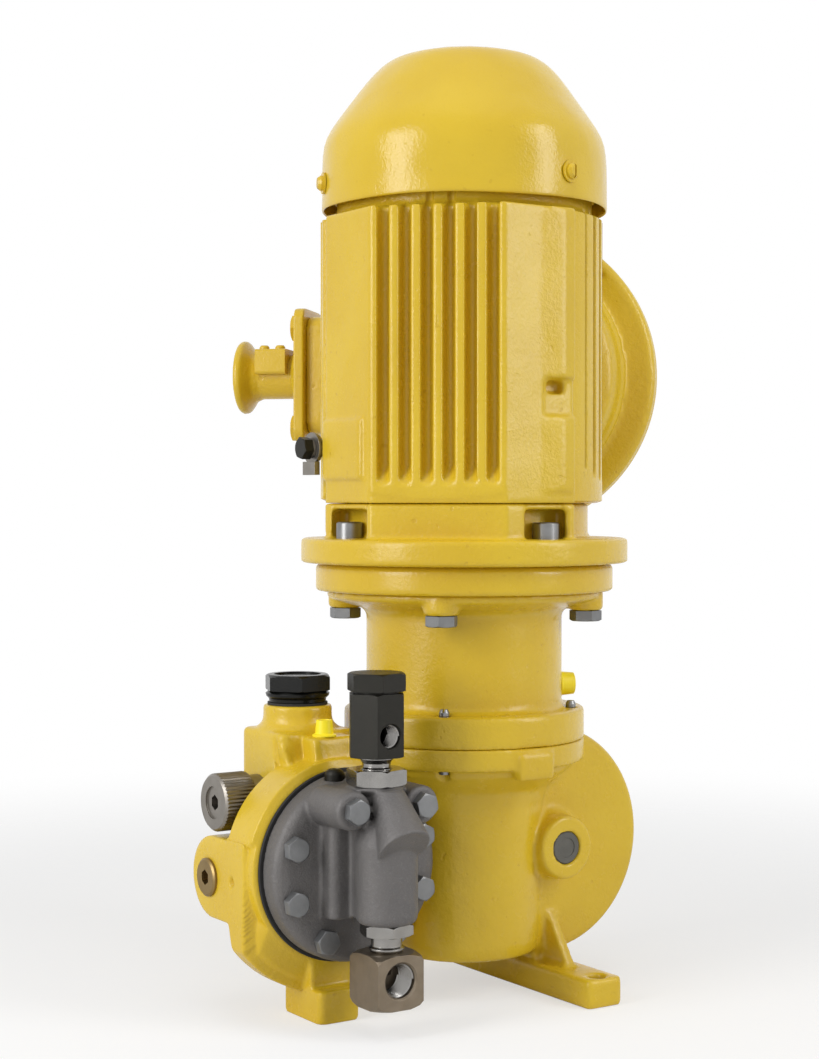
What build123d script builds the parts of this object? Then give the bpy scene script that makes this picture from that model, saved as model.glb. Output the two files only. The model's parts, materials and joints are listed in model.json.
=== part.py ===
from build123d import *
from math import cos, sin, pi, radians, sqrt, atan2
import os

# Diaphragm metering pump with a vertical motor, a worm drive and a hydraulically driven head.
# Millimetres. Origin: midpoint of the two foot holes, on the floor plane. +Z is up, -Y is the
# front with the liquid head and its ports, -X is the side with the adjusting knob.

# Main axes
AXIS_Z = 89.0            # height of the wheel shaft, the plunger and the liquid head
MOTOR_X = -41.0          # upright axis shared by worm, coupling and motor
HEAD_X = -141.0          # centre of the liquid head and of the displacement chamber
PLUNGER_Y = 30.0         # the plunger passes behind the worm

# Gear housing
POT_R = 48.0
POT_FLOOR_Z = 24.0
WHEEL_CASE_R = 69.0
WHEEL_CASE_Z = 92.0
WHEEL_CASE_FRONT = -34.0
WHEEL_CASE_REAR = 52.0
BOSS_R = 19.3
BOSS_FRONT = -51.0
FOOT_LENGTH = 176.0
FOOT_WIDTH = 26.0
FOOT_HEIGHT = 17.0
FOOT_HOLE_SPACING = 158.0
FOOT_HOLE_R = 5.5
LOWER_FLANGE_R = 73.6
LOWER_FLANGE_Z = 142.0
JOINT_Z = 155.0          # gear housing meets the lantern here
TUNNEL_R = 27.0
TUNNEL_BORE_R = 20.0
CHAMBER_JOINT_X = -116.0  # gear housing meets the displacement chamber here

# Worm gearing: one start, so one motor turn moves the wheel by one tooth
WHEEL_TEETH = 30
WHEEL_PITCH_R = 31.5
WORM_PITCH_R = 9.5
GEAR_MODULE = 2 * WHEEL_PITCH_R / WHEEL_TEETH
WORM_LEAD = pi * GEAR_MODULE
BACKLASH = 0.9
WHEEL_WIDTH = 16.0
WORM_TURNS = 6            # even, so a thread faces the wheel at its axis height
WHEEL_PHASE = 180.0 / WHEEL_TEETH   # a tooth space faces the worm
SHAFT_R = 7.5
ECCENTRICITY = 4.0
ECCENTRIC_R = 13.0
PLUNGER_R = 7.0
PLUNGER_STROKE = 2 * ECCENTRICITY

# Lantern and motor stack
LANTERN_FLANGE_TOP = 174.0
NECK_R = 60.0
ADAPTER_Z = 245.0
ADAPTER_R = 91.0
MOTOR_FACE_Z = 262.0
MOTOR_FLANGE_TOP = 277.0
MOTOR_FLANGE_R = 100.0
FRAME_Z0 = 298.0
FRAME_Z1 = 482.0
FRAME_HALF = 88.0        # finned sides, turned 45 degrees to the pump
FRAME_BORE_R = 64.0
FIN_COUNT = 7
FIN_PITCH = 12.8
FIN_THICK = 5.0
FIN_DEPTH = 13.0
SHAFT_TOP_Z = 540.0
COWL_R = 87.4
COWL_Z0 = 475.0
COWL_TOP_Z = 580.0
COWL_SHEET = 2.0
SLOT_WIDTH = 5.0
SLOT_LAND = 4.5
MOTOR_PCD = 165.0
LANTERN_PCD = 150.0
HOUSING_SCREW_R = 66.0
COUPLING_MID_Z = 216.0
LANTERN_PLUG_ANGLE = -22.0
LANTERN_PLUG_Z = 186.0
COWL_SCREW_ANGLES = (-80.0, 40.0, 160.0)
COWL_SCREW_Z = 491.0
FACET = 90.0             # plain sides between the finned ones
RAIL_DEPTH = 4.0         # the facets beside a foot rail are set back by this
RAIL_RIDGE = 92.3
EARTH_Y = 26.0
EARTH_Z = 331.0

# Liquid head
GASKET_FRONT = -22.0
HEAD_R = 54.0
HEAD_FRONT = -38.0
HEAD_BOLT_PCD = 90.0
HEAD_BOLT_AF = 13.0
HEAD_BOLT_ANGLES = (20, 60, 120, 160, 200, 240, 300, 340)
LONG_BOLT_ANGLES = (60, 120)
LONG_BOSS_R = 11.0
LONG_BOSS_FRONT = -70.5
HEAD_TOP_Z = 139.7
CONTOUR_PLATE_R = 39.5
SUCTION_Y = -67.5
DISCHARGE_Y = -57.0
BALL_R = 5.5
SEAT_BORE_R = 3.5
BALL_LIFT = 2.5
BALL_GAP = 0.3
SUCTION_SEAT_TOP = 72.0
DISCHARGE_SEAT_TOP = 124.0
SUCTION_PORT_R = 9.6
SUCTION_PORT_Z = 33.4
DISCHARGE_PORT_R = 6.6
DISCHARGE_PORT_Z = 168.0

# Displacement chamber
RING_R = 72.0
LEFT_FACE_X = -201.0
TOWER_TOP_Z = 164.0
FILLER_X = -143.0
FILLER_Y = 28.0
FILLER_TOP_Z = 178.0
KNOB_Z = 123.0
VENT_X = -144.5
VENT_Y = -5.6
LINER_R = 11.0
AIR_BLEED_X = -152.3
AIR_BLEED_Y = -30.0
AIR_BLEED_R = 5.7

# Capacity adjustment
KNOB_FACE_X = -199.0
KNOB_BACK_X = -177.0

# Terminal box, on the diagonal behind the motor
TERMINAL_Z = 384.0
TERMINAL_R = 106.0
BOWL_R = 84.0
GLAND_RHO = 110.0
GLAND_FACE = 131.0
GLAND_BOLT_HEIGHTS = (-35, 33)
CLAMP_SCREWS = (8, 19)
COVER_SCREW_ANGLES = [15 + 60 * index for index in range(6)]
COVER_SCREW_R = 96.0

RUNNING_GAP = 0.05
DIAGONALS = (45, 135, 225, 315)
AXES = (0, 90, 180, 270)


# ---------------------------------------------------------------- small helpers

def cyl_z(x, y, z0, z1, r):
    return Pos(x, y, (z0 + z1) / 2) * Cylinder(r, z1 - z0)


def cyl_y(x, z, y0, y1, r):
    return Pos(x, (y0 + y1) / 2, z) * Rot(90, 0, 0) * Cylinder(r, y1 - y0)


def cyl_x(y, z, x0, x1, r):
    return Pos((x0 + x1) / 2, y, z) * Rot(0, 90, 0) * Cylinder(r, x1 - x0)


def block(x0, x1, y0, y1, z0, z1):
    return Pos((x0 + x1) / 2, (y0 + y1) / 2, (z0 + z1) / 2) * Box(x1 - x0, y1 - y0, z1 - z0)


def turned(*points):
    """Solid of revolution about +Z; points are (radius, height)."""
    return revolve(Plane.XZ * Polygon(*points, align=None), Axis.Z, 360)


def turned_y(x, z, *points):
    """Solid of revolution about the Y line through x, z; points are (radius, y)."""
    return Pos(x, 0, z) * Rot(-90, 0, 0) * turned(*points)


def turned_x(y, z, *points):
    """Solid of revolution about the X line through y, z; points are (radius, x)."""
    return Pos(0, y, z) * Rot(0, 90, 0) * turned(*points)


def at_z(x, y, z=0.0):
    return Pos(x, y, z)


def polar(radius, degrees):
    return radius * cos(radians(degrees)), radius * sin(radians(degrees))


def hexagon(across_flats, z0, z1, chamfer_top=0.0, chamfer_bottom=0.0, turn=0.0):
    """Hexagonal prism along Z with turned chamfers on its corners; flats face +-Y."""
    corner = across_flats / sqrt(3)
    prism = Pos(0, 0, z0) * Rot(0, 0, turn) * extrude(
        RegularPolygon(across_flats / 2, 6, major_radius=False), z1 - z0)
    rise_top = chamfer_top * 0.55
    rise_bottom = chamfer_bottom * 0.55
    limit = turned((0, z0), (corner - chamfer_bottom, z0), (corner + 0.01, z0 + rise_bottom + 0.01),
                   (corner + 0.01, z1 - rise_top - 0.01), (corner - chamfer_top, z1), (0, z1))
    return prism & limit


def hex_bolt(across_flats, head_height, shank_r, shank_length):
    """Hex head bolt along +Z: the head stands on Z = 0, the shank goes down."""
    head = hexagon(across_flats, 0, head_height, chamfer_top=across_flats * 0.09)
    return head + cyl_z(0, 0, -shank_length, 0.5, shank_r)


def socket_screw(head_r, head_height, shank_r, shank_length, socket_af):
    """Socket head cap screw along +Z: the head stands on Z = 0, the shank goes down."""
    head = turned((0, 0), (head_r, 0), (head_r, head_height - 0.8),
                  (head_r - 0.8, head_height), (0, head_height))
    socket = hexagon(socket_af, head_height * 0.45, head_height + 1)
    return head - socket + cyl_z(0, 0, -shank_length, 0.5, shank_r)


def pan_screw(head_r, head_height, shank_r, shank_length):
    """Slotted pan head screw along +Z: the head stands on Z = 0."""
    head = turned((0, 0), (head_r, 0), (head_r, head_height * 0.5),
                  (head_r * 0.7, head_height), (0, head_height))
    slot = block(-head_r, head_r, -0.6, 0.6, head_height * 0.55, head_height + 1)
    return head - slot + cyl_z(0, 0, -shank_length, 0.4, shank_r)


def around(piece, radius, angles, z, x=MOTOR_X, y=0.0, spin=True):
    """Copies of a piece on a circle about an upright axis, as separate solids."""
    copies = []
    for angle in angles:
        dx, dy = polar(radius, angle)
        copies.append(Pos(x + dx, y + dy, z) * Rot(0, 0, angle if spin else 0) * piece)
    return copies


def fuse(pieces):
    whole = pieces[0]
    for piece in pieces[1:]:
        whole = whole + piece
    return whole


def soften(shape, edges, radius):
    """Rounds the chosen edges, or leaves them sharp where the kernel can't."""
    try:
        rounded = fillet(edges, radius)
        return rounded if rounded.is_valid else shape
    except Exception as problem:
        print("edge left sharp:", radius, str(problem)[:60])
        return shape


def save(node, shape):
    """Writes one node; a list stays a group of separate solids."""
    if isinstance(shape, list):
        solids = []
        for piece in shape:
            solids.extend(piece.solids())
        shape = Compound(children=solids) if len(solids) > 1 else solids[0]
    else:
        solids = shape.solids()
        shape = Compound(children=list(solids)) if len(solids) > 1 else solids[0]
    export_step(shape, "parts/" + node + ".step")


# ---------------------------------------------------------------- gear housing

def pot_profile(grow=0.0):
    """Upright casting around the worm, flared into the round flange above."""
    return turned((0, POT_FLOOR_Z - grow), (POT_R - 7 + grow, POT_FLOOR_Z - grow),
                  (POT_R - 2.5 + grow, POT_FLOOR_Z + 2), (POT_R - 1 + grow, POT_FLOOR_Z + 8),
                  (POT_R + 1 + grow, 116), (POT_R + 4 + grow, 126 - grow),
                  (LOWER_FLANGE_R - 7 + grow, LOWER_FLANGE_Z - 4 - grow),
                  (LOWER_FLANGE_R - 6 + grow, LOWER_FLANGE_Z - grow),
                  (LOWER_FLANGE_R + grow, LOWER_FLANGE_Z - grow),
                  (LOWER_FLANGE_R + grow, JOINT_Z), (0, JOINT_Z))


def wheel_case():
    """Disc shaped case around the worm wheel, with its two bearing bosses."""
    case = cyl_y(0, WHEEL_CASE_Z, WHEEL_CASE_FRONT, WHEEL_CASE_REAR, WHEEL_CASE_R)
    case = soften(case, case.edges().filter_by(GeomType.CIRCLE), 4.5)
    front = turned_y(0, AXIS_Z, (0, WHEEL_CASE_FRONT + 2), (BOSS_R + 7, WHEEL_CASE_FRONT + 2),
                     (BOSS_R + 2.2, WHEEL_CASE_FRONT - 1.5), (BOSS_R + 0.5, WHEEL_CASE_FRONT - 5),
                     (BOSS_R, BOSS_FRONT + 1), (BOSS_R - 1, BOSS_FRONT), (0, BOSS_FRONT))
    rear = turned_y(0, AXIS_Z, (0, WHEEL_CASE_REAR - 2), (BOSS_R + 7, WHEEL_CASE_REAR - 2),
                    (BOSS_R + 2, WHEEL_CASE_REAR + 3), (BOSS_R + 1, WHEEL_CASE_REAR + 7),
                    (BOSS_R - 1, WHEEL_CASE_REAR + 9), (0, WHEEL_CASE_REAR + 9))
    return case + front + rear


def foot_bar():
    """Cross bar foot with a bolt hole at each end."""
    half = FOOT_LENGTH / 2
    bar = block(-FOOT_WIDTH / 2, FOOT_WIDTH / 2, -half, half, 0, FOOT_HEIGHT)
    bar = soften(bar, bar.edges().filter_by(Axis.Z), 3.5)
    bar = soften(bar, bar.faces().sort_by(Axis.Z)[-1].edges(), 2.0)
    for side in (-1, 1):
        bar -= cyl_z(0, side * FOOT_HOLE_SPACING / 2, -1, FOOT_HEIGHT + 1, FOOT_HOLE_R)
    return bar


def foot_gussets():
    """Web under the case and one triangular rib to each end of the bar."""
    web = block(-10, 10, WHEEL_CASE_FRONT + 3, WHEEL_CASE_REAR - 3, FOOT_HEIGHT - 2, 34)
    front = Polygon((WHEEL_CASE_FRONT + 4, 50), (WHEEL_CASE_FRONT - 1, 48), (-56, FOOT_HEIGHT - 1),
                    (WHEEL_CASE_FRONT + 4, FOOT_HEIGHT - 1), align=None)
    rear = Polygon((WHEEL_CASE_REAR - 4, 50), (WHEEL_CASE_REAR + 1, 48), (70, FOOT_HEIGHT - 1),
                   (WHEEL_CASE_REAR - 4, FOOT_HEIGHT - 1), align=None)
    ribs = [Pos(-3.5, 0, 0) * extrude(Plane.YZ * profile, 7) for profile in (front, rear)]
    return web + ribs[0] + ribs[1]


def gear_cavities():
    """Everything that is hollow inside the gear housing."""
    hollow = cyl_z(MOTOR_X, 0, 46, JOINT_Z + 1, 40)
    hollow += cyl_y(0, AXIS_Z, -26, 44, 56)
    hollow += cyl_z(MOTOR_X, 0, 33, 47, 16)
    hollow += cyl_y(0, AXIS_Z, -44, -25, 16)
    hollow += cyl_y(0, AXIS_Z, 43, 55, 16)
    hollow += cyl_y(0, AXIS_Z, BOSS_FRONT - 1, -43, 10)
    hollow += cyl_x(PLUNGER_Y, AXIS_Z, CHAMBER_JOINT_X - 1, MOTOR_X, TUNNEL_BORE_R)
    return hollow


def gear_housing():
    pot = at_z(MOTOR_X, 0) * pot_profile()
    body = pot + (wheel_case() & block(-90, 90, -90, 90, 0, JOINT_Z))
    body += foot_bar() + foot_gussets()
    tunnel = cyl_x(PLUNGER_Y, AXIS_Z, CHAMBER_JOINT_X, MOTOR_X - 20, TUNNEL_R)
    tunnel_flange = cyl_x(PLUNGER_Y, AXIS_Z, CHAMBER_JOINT_X, CHAMBER_JOINT_X + 9, TUNNEL_R + 7)
    body += tunnel + tunnel_flange
    lug = block(MOTOR_X - 12.5, MOTOR_X + 12.5, -76, -58, 136.5, 152)
    body += soften(lug, lug.edges().filter_by(Axis.Z), 2.0)
    body -= gear_cavities()
    for x, y in (polar(HOUSING_SCREW_R, a) for a in DIAGONALS):
        body -= cyl_z(MOTOR_X + x, y, LOWER_FLANGE_Z - 9, JOINT_Z + 1, 3.0)
    return body


# ---------------------------------------------------------------- lantern and motor stack

def coupling_lantern():
    """Bell between gear housing and motor: flange, neck and a flared top with four lugs."""
    body = turned((0, JOINT_Z), (LOWER_FLANGE_R, JOINT_Z), (LOWER_FLANGE_R, LANTERN_FLANGE_TOP - 1.5),
                  (LOWER_FLANGE_R - 1.5, LANTERN_FLANGE_TOP), (NECK_R + 2.5, LANTERN_FLANGE_TOP),
                  (NECK_R, LANTERN_FLANGE_TOP + 2.5), (NECK_R, 231), (NECK_R + 3, 234.5),
                  (82, 240), (84, 241.5), (84, ADAPTER_Z), (0, ADAPTER_Z))
    for x, y in (polar(LANTERN_PCD / 2, a) for a in DIAGONALS):
        lug = turned((0, 233), (9, 233), (10.6, 234.6), (10.6, ADAPTER_Z), (0, ADAPTER_Z))
        inner = polar(LANTERN_PCD / 2 - 12, atan2(y, x) * 180 / pi)
        bridge = cyl_z(inner[0], inner[1], 236, ADAPTER_Z, 10.6)
        body += Pos(x, y, 0) * lug + bridge
    body -= cyl_z(0, 0, LANTERN_FLANGE_TOP + 1, ADAPTER_Z + 1, 51)
    body -= cyl_z(0, 0, JOINT_Z - 1, 167, 17.5)
    body -= cyl_z(0, 0, 166, LANTERN_FLANGE_TOP + 2, 11)
    for x, y in (polar(LANTERN_PCD / 2, a) for a in DIAGONALS):
        body -= cyl_z(x, y, 230, ADAPTER_Z + 1, 5.2)
    for x, y in (polar(HOUSING_SCREW_R, a) for a in DIAGONALS):
        body -= cyl_z(x, y, JOINT_Z - 1, LANTERN_FLANGE_TOP + 3, 3.0)
    body -= Rot(0, 0, LANTERN_PLUG_ANGLE) * cyl_x(0, LANTERN_PLUG_Z, 45, NECK_R + 3, 6.0)
    return at_z(MOTOR_X, 0) * body


def adapter_ring():
    """Intermediate flange: takes the motor's screws from above, the lantern's from below."""
    body = turned((56, ADAPTER_Z), (ADAPTER_R - 1, ADAPTER_Z), (ADAPTER_R, ADAPTER_Z + 1),
                  (ADAPTER_R, MOTOR_FACE_Z - 2.5), (ADAPTER_R - 3, MOTOR_FACE_Z),
                  (65, MOTOR_FACE_Z), (65, MOTOR_FACE_Z - 4), (56, MOTOR_FACE_Z - 4))
    for x, y in (polar(MOTOR_PCD / 2, a) for a in AXES):
        body -= cyl_z(x, y, ADAPTER_Z + 1, MOTOR_FACE_Z + 1, 5.0)
    for x, y in (polar(LANTERN_PCD / 2, a) for a in DIAGONALS):
        body -= cyl_z(x, y, ADAPTER_Z - 1, MOTOR_FACE_Z - 4, 5.0)
    return at_z(MOTOR_X, 0) * body


def motor_flange_shield():
    """Drive end shield with the motor's mounting flange and spigot."""
    body = turned((12, MOTOR_FACE_Z - 4), (65, MOTOR_FACE_Z - 4), (65, MOTOR_FACE_Z),
                  (MOTOR_FLANGE_R - 1, MOTOR_FACE_Z), (MOTOR_FLANGE_R, MOTOR_FACE_Z + 1),
                  (MOTOR_FLANGE_R, MOTOR_FLANGE_TOP - 1.5), (MOTOR_FLANGE_R - 1.5, MOTOR_FLANGE_TOP),
                  (82, MOTOR_FLANGE_TOP), (79, MOTOR_FLANGE_TOP + 3), (80, FRAME_Z0),
                  (23.5, FRAME_Z0), (23.5, 284), (12, 284))
    body -= turned((30, 286), (62, 286), (62, FRAME_Z0 + 1), (30, FRAME_Z0 + 1))
    for x, y in (polar(MOTOR_PCD / 2, a) for a in AXES):
        body -= cyl_z(x, y, MOTOR_FLANGE_TOP, FRAME_Z0 + 1, 11.5)
        body -= cyl_z(x, y, MOTOR_FACE_Z - 1, MOTOR_FLANGE_TOP + 1, 5.2)
    return at_z(MOTOR_X, 0) * body


def fin_grooves(half, z0, z1):
    """Grooves that leave seven parallel fins on the side facing +X; their lower ends run out."""
    narrow = (FIN_PITCH - FIN_THICK) / 2
    floor = half - FIN_DEPTH
    grooves = []
    for index in range(FIN_COUNT - 1):
        centre = (index - FIN_COUNT / 2 + 1) * FIN_PITCH
        profile = Polygon((half + 1, centre - narrow), (half + 1, centre + narrow),
                          (floor + 2, centre + narrow - 1.4), (floor, centre + narrow - 3),
                          (floor, centre - narrow + 3), (floor + 2, centre - narrow + 1.4),
                          align=None)
        groove = Pos(0, 0, z0) * extrude(profile, z1 - z0)
        ramp = Polygon((floor - 1, z0 - 1), (half + 2, z0 - 1), (half + 2, z0), (floor - 1, z0 + 13),
                       align=None)
        grooves.append(groove - Pos(0, centre + FIN_PITCH / 2, 0) * extrude(Plane.XZ * ramp, FIN_PITCH))
    return grooves


def foot_rail():
    """Cut away beside and in the foot rail of the facet that faces -Y: set-back flats and a notch."""
    flat = FACET - RAIL_DEPTH
    flank = FIN_PITCH * (FIN_COUNT - 1) / 2 + FIN_THICK / 2
    fin_edge = flank * sqrt(2) - flat
    reach = 12.0
    left = Polygon((fin_edge, -flat), (-10, -flat), (-10, -flat - reach),
                   (fin_edge - reach, -flat - reach), align=None)
    right = Polygon((20, -flat), (-fin_edge, -flat), (-fin_edge + reach, -flat - reach),
                    (20, -flat - reach), align=None)
    height = FRAME_Z1 - FRAME_Z0 + 1
    cut = Pos(0, 0, FRAME_Z0 + 7) * extrude(left + right, height)
    notch = block(-7, 21, -FACET - 4, -FACET + 2.2, 348.5, 370.5)
    pocket = block(-3, 9, -FACET, -FACET + 9, 361.5, 369)
    return cut + soften(notch, notch.edges().filter_by(Axis.Y), 1.5) + pocket


def motor_frame():
    """Cast motor frame: eight sided, finned on the four diagonal sides, plain between them."""
    square = RectangleRounded(2 * FRAME_HALF, 2 * FRAME_HALF, 4)
    outline = square & (Rot(0, 0, 45) * Rectangle(2 * FACET, 2 * FACET))
    body = Pos(0, 0, FRAME_Z0) * extrude(outline, FRAME_Z1 - FRAME_Z0)
    limit = turned((0, FRAME_Z0), (80, FRAME_Z0), (84, FRAME_Z0 + 1), (99, FRAME_Z0 + 7),
                   (99, FRAME_Z1), (0, FRAME_Z1))
    body = body & limit
    for side in AXES:
        for groove in fin_grooves(FRAME_HALF, FRAME_Z0 + 9, FRAME_Z1 + 1):
            body -= Rot(0, 0, side) * groove
    pad_low, pad_high = TERMINAL_Z - 47, TERMINAL_Z + 47
    body += block(FRAME_HALF - FIN_DEPTH - 1, FRAME_HALF, -44, 44, pad_low, pad_high)
    body = Rot(0, 0, 45) * body
    ridge = Polygon((-10, -80), (-10, -FACET), (7, -RAIL_RIDGE), (20, -FACET + 0.5), (20, -80), align=None)
    rail = Pos(0, 0, FRAME_Z0 + 7) * extrude(ridge, COWL_Z0 - 6 - FRAME_Z0 - 7) - foot_rail()
    for mirrored in (False, True):
        turn = Rot(0, 0, 90) if mirrored else Rot(0, 0, 0)
        sided = mirror(rail, Plane.YZ) if mirrored else rail
        cuts = mirror(foot_rail(), Plane.YZ) if mirrored else foot_rail()
        body = (body - turn * cuts) + turn * sided
    pad = block(-92.5, -80, -27, 16, 312, 347)
    body += soften(pad, pad.faces().sort_by(Axis.X)[0].edges(), 1.5)
    body -= cyl_z(0, 0, FRAME_Z0 - 1, FRAME_Z1 + 1, FRAME_BORE_R)
    body -= cyl_z(0, 0, COWL_Z0 - 6, FRAME_Z1 + 1, 100) - cyl_z(0, 0, COWL_Z0 - 7, FRAME_Z1 + 2, 83)
    body -= cyl_x(EARTH_Y, EARTH_Z, -93.5, -78, 3.0)
    return at_z(MOTOR_X, 0) * body


def fan_end_shield():
    """Bearing cover at the fan end, bolted on the frame under the cowl."""
    body = turned((9, FRAME_Z1), (80, FRAME_Z1), (80, FRAME_Z1 + 4), (40, FRAME_Z1 + 12),
                  (9, FRAME_Z1 + 14))
    body += cyl_z(0, 0, FRAME_Z1 - 16, FRAME_Z1 + 1, 30)
    body -= cyl_z(0, 0, FRAME_Z1 - 17, FRAME_Z1 - 2, 23.5)
    body -= cyl_z(0, 0, FRAME_Z1 - 3, FRAME_Z1 + 20, 9.5)
    for angle in COWL_SCREW_ANGLES:
        x, y = polar(80, angle)
        post = Pos(x, y, FRAME_Z1) * Rot(0, 0, angle) * block(-8, 4.6, -7, 7, 0, 16)
        body += post
        body -= Rot(0, 0, angle) * cyl_x(0, COWL_SCREW_Z, 70, 90, 2.5)
    return at_z(MOTOR_X, 0) * body


def fan_cowl():
    """Pressed sheet cowl: straight skirt, rounded shoulder, cone and shallow dome."""
    profile = make_face(Polyline((0, COWL_Z0), (COWL_R, COWL_Z0), (COWL_R, 519), (55, 560.5),
                                 (37, 574.5), (0, COWL_TOP_Z), (0, COWL_Z0)))
    corners = profile.vertices().filter_by_position(Axis.Y, 515, 563)
    profile = fillet(corners.sort_by(Axis.Y)[0:1], 16)
    corner = profile.vertices().sort_by_distance((55, 560.5))[0:1]
    profile = fillet(corner, 20)
    body = revolve(Plane.XZ * profile, Axis.Z, 360)
    body -= cowl_hollow()
    for ring, (radius, slots) in enumerate(((14, 6), (24, 10), (34, 14), (44, 18))):
        for index in range(slots):
            angle = (index + 0.5 * (ring % 2)) * 360 / slots
            slot = SlotOverall(2 * pi * radius / slots - SLOT_LAND, SLOT_WIDTH)
            placed = Rot(0, 0, angle) * Pos(radius, 0) * Rot(0, 0, 90) * slot
            body -= Pos(0, 0, 540) * extrude(placed, 60)
    for angle in COWL_SCREW_ANGLES:
        body -= Rot(0, 0, angle) * cyl_x(0, COWL_SCREW_Z, 80, 90, 2.6)
    return at_z(MOTOR_X, 0) * body


def cowl_hollow():
    """The hollow of the cowl: its outside, moved in by the sheet's thickness."""
    profile = make_face(Polyline((0, COWL_Z0 - 1), (COWL_R - COWL_SHEET, COWL_Z0 - 1),
                                 (COWL_R - COWL_SHEET, 518.2), (54.2, 558.4),
                                 (36.6, 572.3), (0, COWL_TOP_Z - COWL_SHEET), (0, COWL_Z0 - 1)))
    first = profile.vertices().sort_by_distance((COWL_R - COWL_SHEET, 518.2))[0:1]
    profile = fillet(first, 14)
    second = profile.vertices().sort_by_distance((54.2, 558.4))[0:1]
    profile = fillet(second, 18)
    return revolve(Plane.XZ * profile, Axis.Z, 360)


# ---------------------------------------------------------------- displacement chamber

def chamber_ring():
    """Round front of the chamber, which carries the head, in its own X-Z place."""
    return turned_y(HEAD_X, AXIS_Z, (0, -20), (56.5, -20), (59, -18.5), (RING_R - 3, -14),
                    (RING_R, -10.5), (RING_R, 4), (RING_R - 5, 9), (0, 9))


def plug_block():
    """Block with the D shaped end face on the left; its back is round."""
    profile = Pos(9, 80) * RectangleRounded(40, 48, 2.5)
    profile += (Pos(20, 80) * Rectangle(18, 48)) + (Pos(28.5, 80) * Circle(24))
    whole = Pos(LEFT_FACE_X, 0, 0) * extrude(Plane.YZ * profile, 60)
    return soften(whole, whole.faces().sort_by(Axis.X)[0].edges(), 1.5)


def chamber_tower():
    """Upper part: oil reservoir with the filler neck and the lower block in front."""
    main = block(FILLER_X - 26, CHAMBER_JOINT_X, 2, 52, 50, TOWER_TOP_Z)
    main = soften(main, main.edges().filter_by(Axis.Z), 6)
    main = soften(main, main.faces().sort_by(Axis.Z)[-1].edges(), 3)
    front = block(HEAD_X - 15, HEAD_X + 15, -13, 12, 120, TOWER_TOP_Z - 2)
    front = soften(front, front.edges().filter_by(Axis.Z), 4)
    front = soften(front, front.faces().sort_by(Axis.Z)[-1].edges(), 2)
    neck = Pos(FILLER_X, FILLER_Y, 0) * turned(
        (0, TOWER_TOP_Z - 2), (25, TOWER_TOP_Z - 2), (24.2, TOWER_TOP_Z + 0.8),
        (21.3, TOWER_TOP_Z + 3.5), (20.5, TOWER_TOP_Z + 7), (20.5, FILLER_TOP_Z - 0.8),
        (19.7, FILLER_TOP_Z), (0, FILLER_TOP_Z))
    return main + front + neck


def left_foot():
    """Foot pad cast under the ring."""
    foot = block(HEAD_X - 21, HEAD_X + 6, -30, 12, 0, 40)
    foot = soften(foot, foot.edges().filter_by(Axis.Z), 3)
    step = block(HEAD_X - 22, HEAD_X + 7, -31, -19.9, 19, 41)
    return foot - step


def chamber_hollows():
    """Recess for the contour plate, liner bore, oil reservoir and the threaded holes."""
    hollow = cyl_y(HEAD_X, AXIS_Z, -21, -11, CONTOUR_PLATE_R)
    hollow += cyl_y(HEAD_X, AXIS_Z, -12, 4, 36)
    hollow += cyl_x(PLUNGER_Y, AXIS_Z, -172, CHAMBER_JOINT_X + 1, LINER_R)
    hollow += cyl_y(-176, AXIS_Z, 0, PLUNGER_Y, 5)
    hollow += cyl_x(PLUNGER_Y, AXIS_Z, -178, -171, 5)
    hollow += block(-160, -124, 14, 42, 112, 158)
    hollow += cyl_z(FILLER_X, FILLER_Y, 157, FILLER_TOP_Z + 1, 14)
    hollow += cyl_x(PLUNGER_Y, KNOB_Z, -170, -159, 10)
    hollow += cyl_x(32, 79.4, LEFT_FACE_X - 1, -188, 9)
    hollow += cyl_x(4.2, 80.4, LEFT_FACE_X - 1, LEFT_FACE_X + 5, 1.6)
    hollow += cyl_z(VENT_X, VENT_Y, 150, TOWER_TOP_Z, 4)
    for angle in HEAD_BOLT_ANGLES:
        x, z = polar(HEAD_BOLT_PCD / 2, angle)
        hollow += cyl_y(HEAD_X + x, AXIS_Z + z, -21, -5, 4)
    return hollow


def displacement_chamber():
    body = chamber_ring() + plug_block() + chamber_tower() + left_foot()
    body += cyl_x(PLUNGER_Y, AXIS_Z, -168, CHAMBER_JOINT_X, 24)
    room = Pos(MOTOR_X, 0, 0) * pot_profile(0.5)
    room += cyl_z(MOTOR_X, 0, JOINT_Z - 1, 200, LOWER_FLANGE_R + 0.6)
    room += block(CHAMBER_JOINT_X, 0, -10, 80, 30, 170)
    body -= room
    return body - chamber_hollows()


# ---------------------------------------------------------------- liquid head

def inclined_boss():
    """Slanted boss on the front of the discharge seat, widening to its round end face."""
    top = Plane(origin=(HEAD_X, -65.5, HEAD_TOP_Z + 1), x_dir=(1, 0, 0), z_dir=(0, -0.45, -0.89))
    face = Plane(origin=(HEAD_X, -86, 107.5), x_dir=(1, 0, 0), z_dir=(0, -1, -1))
    boss = loft([top * Circle(8.2), face * Circle(15.5)])
    web = Polygon((-44, 136), (-68, 136), (-84, 103), (-74, 100), (-66, 114), (-44, 114), align=None)
    return boss + Pos(HEAD_X - 7, 0, 0) * extrude(Plane.YZ * web, 14)


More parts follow.
